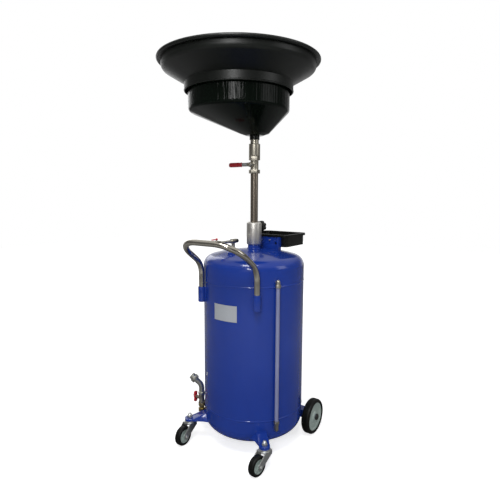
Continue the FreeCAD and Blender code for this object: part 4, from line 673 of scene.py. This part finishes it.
# Turned aluminium: a pale satin that spreads each highlight along the level lines of the tool. They
# are about 0.2 mm apart, and drawn 0.67 mm apart so that they show.
satin, tree, shader, place = finish("turned_aluminium", Metallic=1.0, Roughness=0.46)
lathe = node(tree, "Mapping", {"Vector": place,
                               "Scale": (every(33.333), every(33.333), every(0.66667))})
lathe = node(tree, "TexNoise", {"Vector": lathe.outputs["Vector"], "Scale": 1.0, "Detail": 2.0})
tone = node(tree, "ValToRGB", {"Fac": lathe.outputs["Fac"]}, into=shader.inputs["Base Color"])
tone.color_ramp.elements[0].color = linear("CBC8C2")
tone.color_ramp.elements[1].color = linear("E4E1DB")
node(tree, "Bump", {"Height": lathe.outputs["Fac"], "Distance": 0.04 / 1000},
     into=shader.inputs["Normal"])
eased("lock_collar", "tank", satin, 1.6, smooth=50)
eased("lock_knob", "lock_knob", cap_black, 1.2)
coat(zinc, "lock_screw", "guide_tube")
coat(nickel, "gland_bush", "post_foot_bush")

# Hard chrome on ground steel tube: a softened mirror, browned by a film of old oil that the collar
# has wiped into upright streaks 11 mm wide.
hard, tree, shader, place = finish("hard_chrome_plate", Metallic=1.0, Roughness=0.3)
film = node(tree, "Mapping", {"Vector": place,
                              "Scale": (every(11.111), every(11.111), every(333.33))})
film = node(tree, "TexNoise", {"Vector": film.outputs["Vector"], "Scale": 1.0, "Detail": 4.0})
tone = node(tree, "ValToRGB", {"Fac": film.outputs["Fac"]}, into=shader.inputs["Base Color"])
tone.color_ramp.elements[0].color = linear("857A6D")
tone.color_ramp.elements[1].color = linear("B0A698")
node(tree, "Bump", {"Height": film.outputs["Fac"], "Distance": 0.06 / 1000},
     into=shader.inputs["Normal"])
coat(hard, "post_tube")

# ---------------------------------------------------------------- ball valve and union
# Under the bowl: a forged ball valve with a flat zinc plated lever in a red dipped grip, and the
# turned union that lets the bowl swivel.

eased("top_valve_body", "post", nickel, 0.9)
coat(nickel, "top_valve_ball")
eased("top_valve_lever", "top_lever", zinc, 0.5)

# Dipped vinyl: a dark even red with a soft, broad highlight, thick enough to sag in runs 14 mm wide.
vinyl, tree, shader, place = finish("dipped_red_vinyl", Roughness=0.3, Specular_IOR_Level=0.45)
run = node(tree, "TexNoise", {"Vector": place, "Scale": every(14.286), "Detail": 3.0})
tone = node(tree, "ValToRGB", {"Fac": run.outputs["Fac"]}, into=shader.inputs["Base Color"])
tone.color_ramp.elements[0].color = linear("8E1A22")
tone.color_ramp.elements[1].color = linear("AD2831")
node(tree, "Bump", {"Height": run.outputs["Fac"], "Distance": 0.3 / 1000},
     into=shader.inputs["Normal"])

# The grip, from its rolled mouth to its rounded end, is dipped over the flat lever.
FLATNESS = 0.47
low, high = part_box("lever_sleeve")
length = high.x - low.x
grip = grown([(0.0078, 0.0), (0.0088, 0.0006), (0.0090, 0.0022), (0.0084, 0.0042),
              (0.0083, 0.0060), (0.0088, length * 0.4), (0.0089, length * 0.75),
              (0.0086, length - 0.006), (0.0076, length - 0.0025), (0.0058, length - 0.0006),
              (0.0030, length)], corners=40)
bpy.ops.object.mode_set(mode="EDIT")
bpy.ops.mesh.select_all(action="SELECT")
bpy.ops.transform.resize(value=(FLATNESS, 1, 1), center_override=(0, 0, 0))
settle(grip, "vinyl_grip", vinyl, "top_lever", "lever_sleeve",
       middle=(high.x, (low.y + high.y) / 2, (low.z + high.z) / 2),
       turn=Vector((-1, 0, 0)).to_track_quat("Z", "Y").to_matrix().to_4x4(), smooth=60)
eased("swivel_union", "post", nickel, 0.8, smooth=50)

# Pipe thread of the union's tail, which shows between it and the valve.
thread_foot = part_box("top_valve_body")[1].z - 0.0022
rings = thread(root=0.0156, crest=0.0168, length=0.0042, pitch=0.0014)
turns = grown([(0.0150, 0)] + [(radius, height + 0.0002) for radius, height in rings], corners=48)
settle(turns, "union_thread", nickel, "post", middle=(AXIS.x, AXIS.y, thread_foot), smooth=25)

# ---------------------------------------------------------------- bowl
# The lower bowl with its sump, strainer, spigot and nut, and the loose extension ring on it. Both
# are moulded in black polyethylene; the bowl is glossy, the ring is satin.

coat(poly, "bowl_spigot", "bowl_nut")
coat(zinc, "bowl_strainer")

# Vacuum formed polyethylene: a nearly black wet gloss, whose reflections are broken up by upright
# drawing lines about 7 mm apart. They fade out below the upright wall, on the cone.
BOWL_WALL = 0.094
wall_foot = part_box("lower_bowl")[1].z - BOWL_WALL
drawn, tree, shader, place = finish("vacuum_formed_polyethylene", Roughness=0.12,
                                    Specular_IOR_Level=0.12)
lines = node(tree, "Mapping", {"Vector": place,
                               "Scale": (every(7.1429), every(7.1429), every(500))})
lines = node(tree, "TexNoise", {"Vector": lines.outputs["Vector"], "Scale": 1.0, "Detail": 3.0})
tone = node(tree, "ValToRGB", {"Fac": lines.outputs["Fac"]}, into=shader.inputs["Base Color"])
tone.color_ramp.elements[0].color = linear("040805")
tone.color_ramp.elements[1].color = linear("0A110C")
upright = node(tree, "MapRange", {"Value": node(tree, "SeparateXYZ", {"Vector": place}).outputs["Z"],
                                  "From Min": wall_foot - 0.004, "From Max": wall_foot + 0.010,
                                  "To Min": 0.03, "To Max": 1.0})
lines = node(tree, "Math", {0: lines.outputs["Fac"], 1: upright.outputs["Result"]},
             operation="MULTIPLY")
node(tree, "Bump", {"Height": lines.outputs[0], "Distance": 1.8 / 1000},
     into=shader.inputs["Normal"])
coat(drawn, "lower_bowl")

# Rotomoulded polyethylene: a satin black with one broad highlight, clouded 14 mm wide, and pitted
# 2 mm apart by the powder that it was melted from.
satin_black, tree, shader, place = finish("rotomoulded_polyethylene", Roughness=0.4,
                                          Specular_IOR_Level=0.45)
cloud = node(tree, "TexNoise", {"Vector": place, "Scale": every(71.429), "Detail": 4.0})
tone = node(tree, "ValToRGB", {"Fac": cloud.outputs["Fac"]}, into=shader.inputs["Base Color"])
tone.color_ramp.elements[0].color = linear("050906")
tone.color_ramp.elements[1].color = linear("0C120D")
grain = node(tree, "TexNoise", {"Vector": place, "Scale": every(2), "Detail": 2.0})
node(tree, "Bump", {"Height": grain.outputs["Fac"], "Distance": 0.06 / 1000},
     into=shader.inputs["Normal"])
coat(satin_black, "extension_ring")
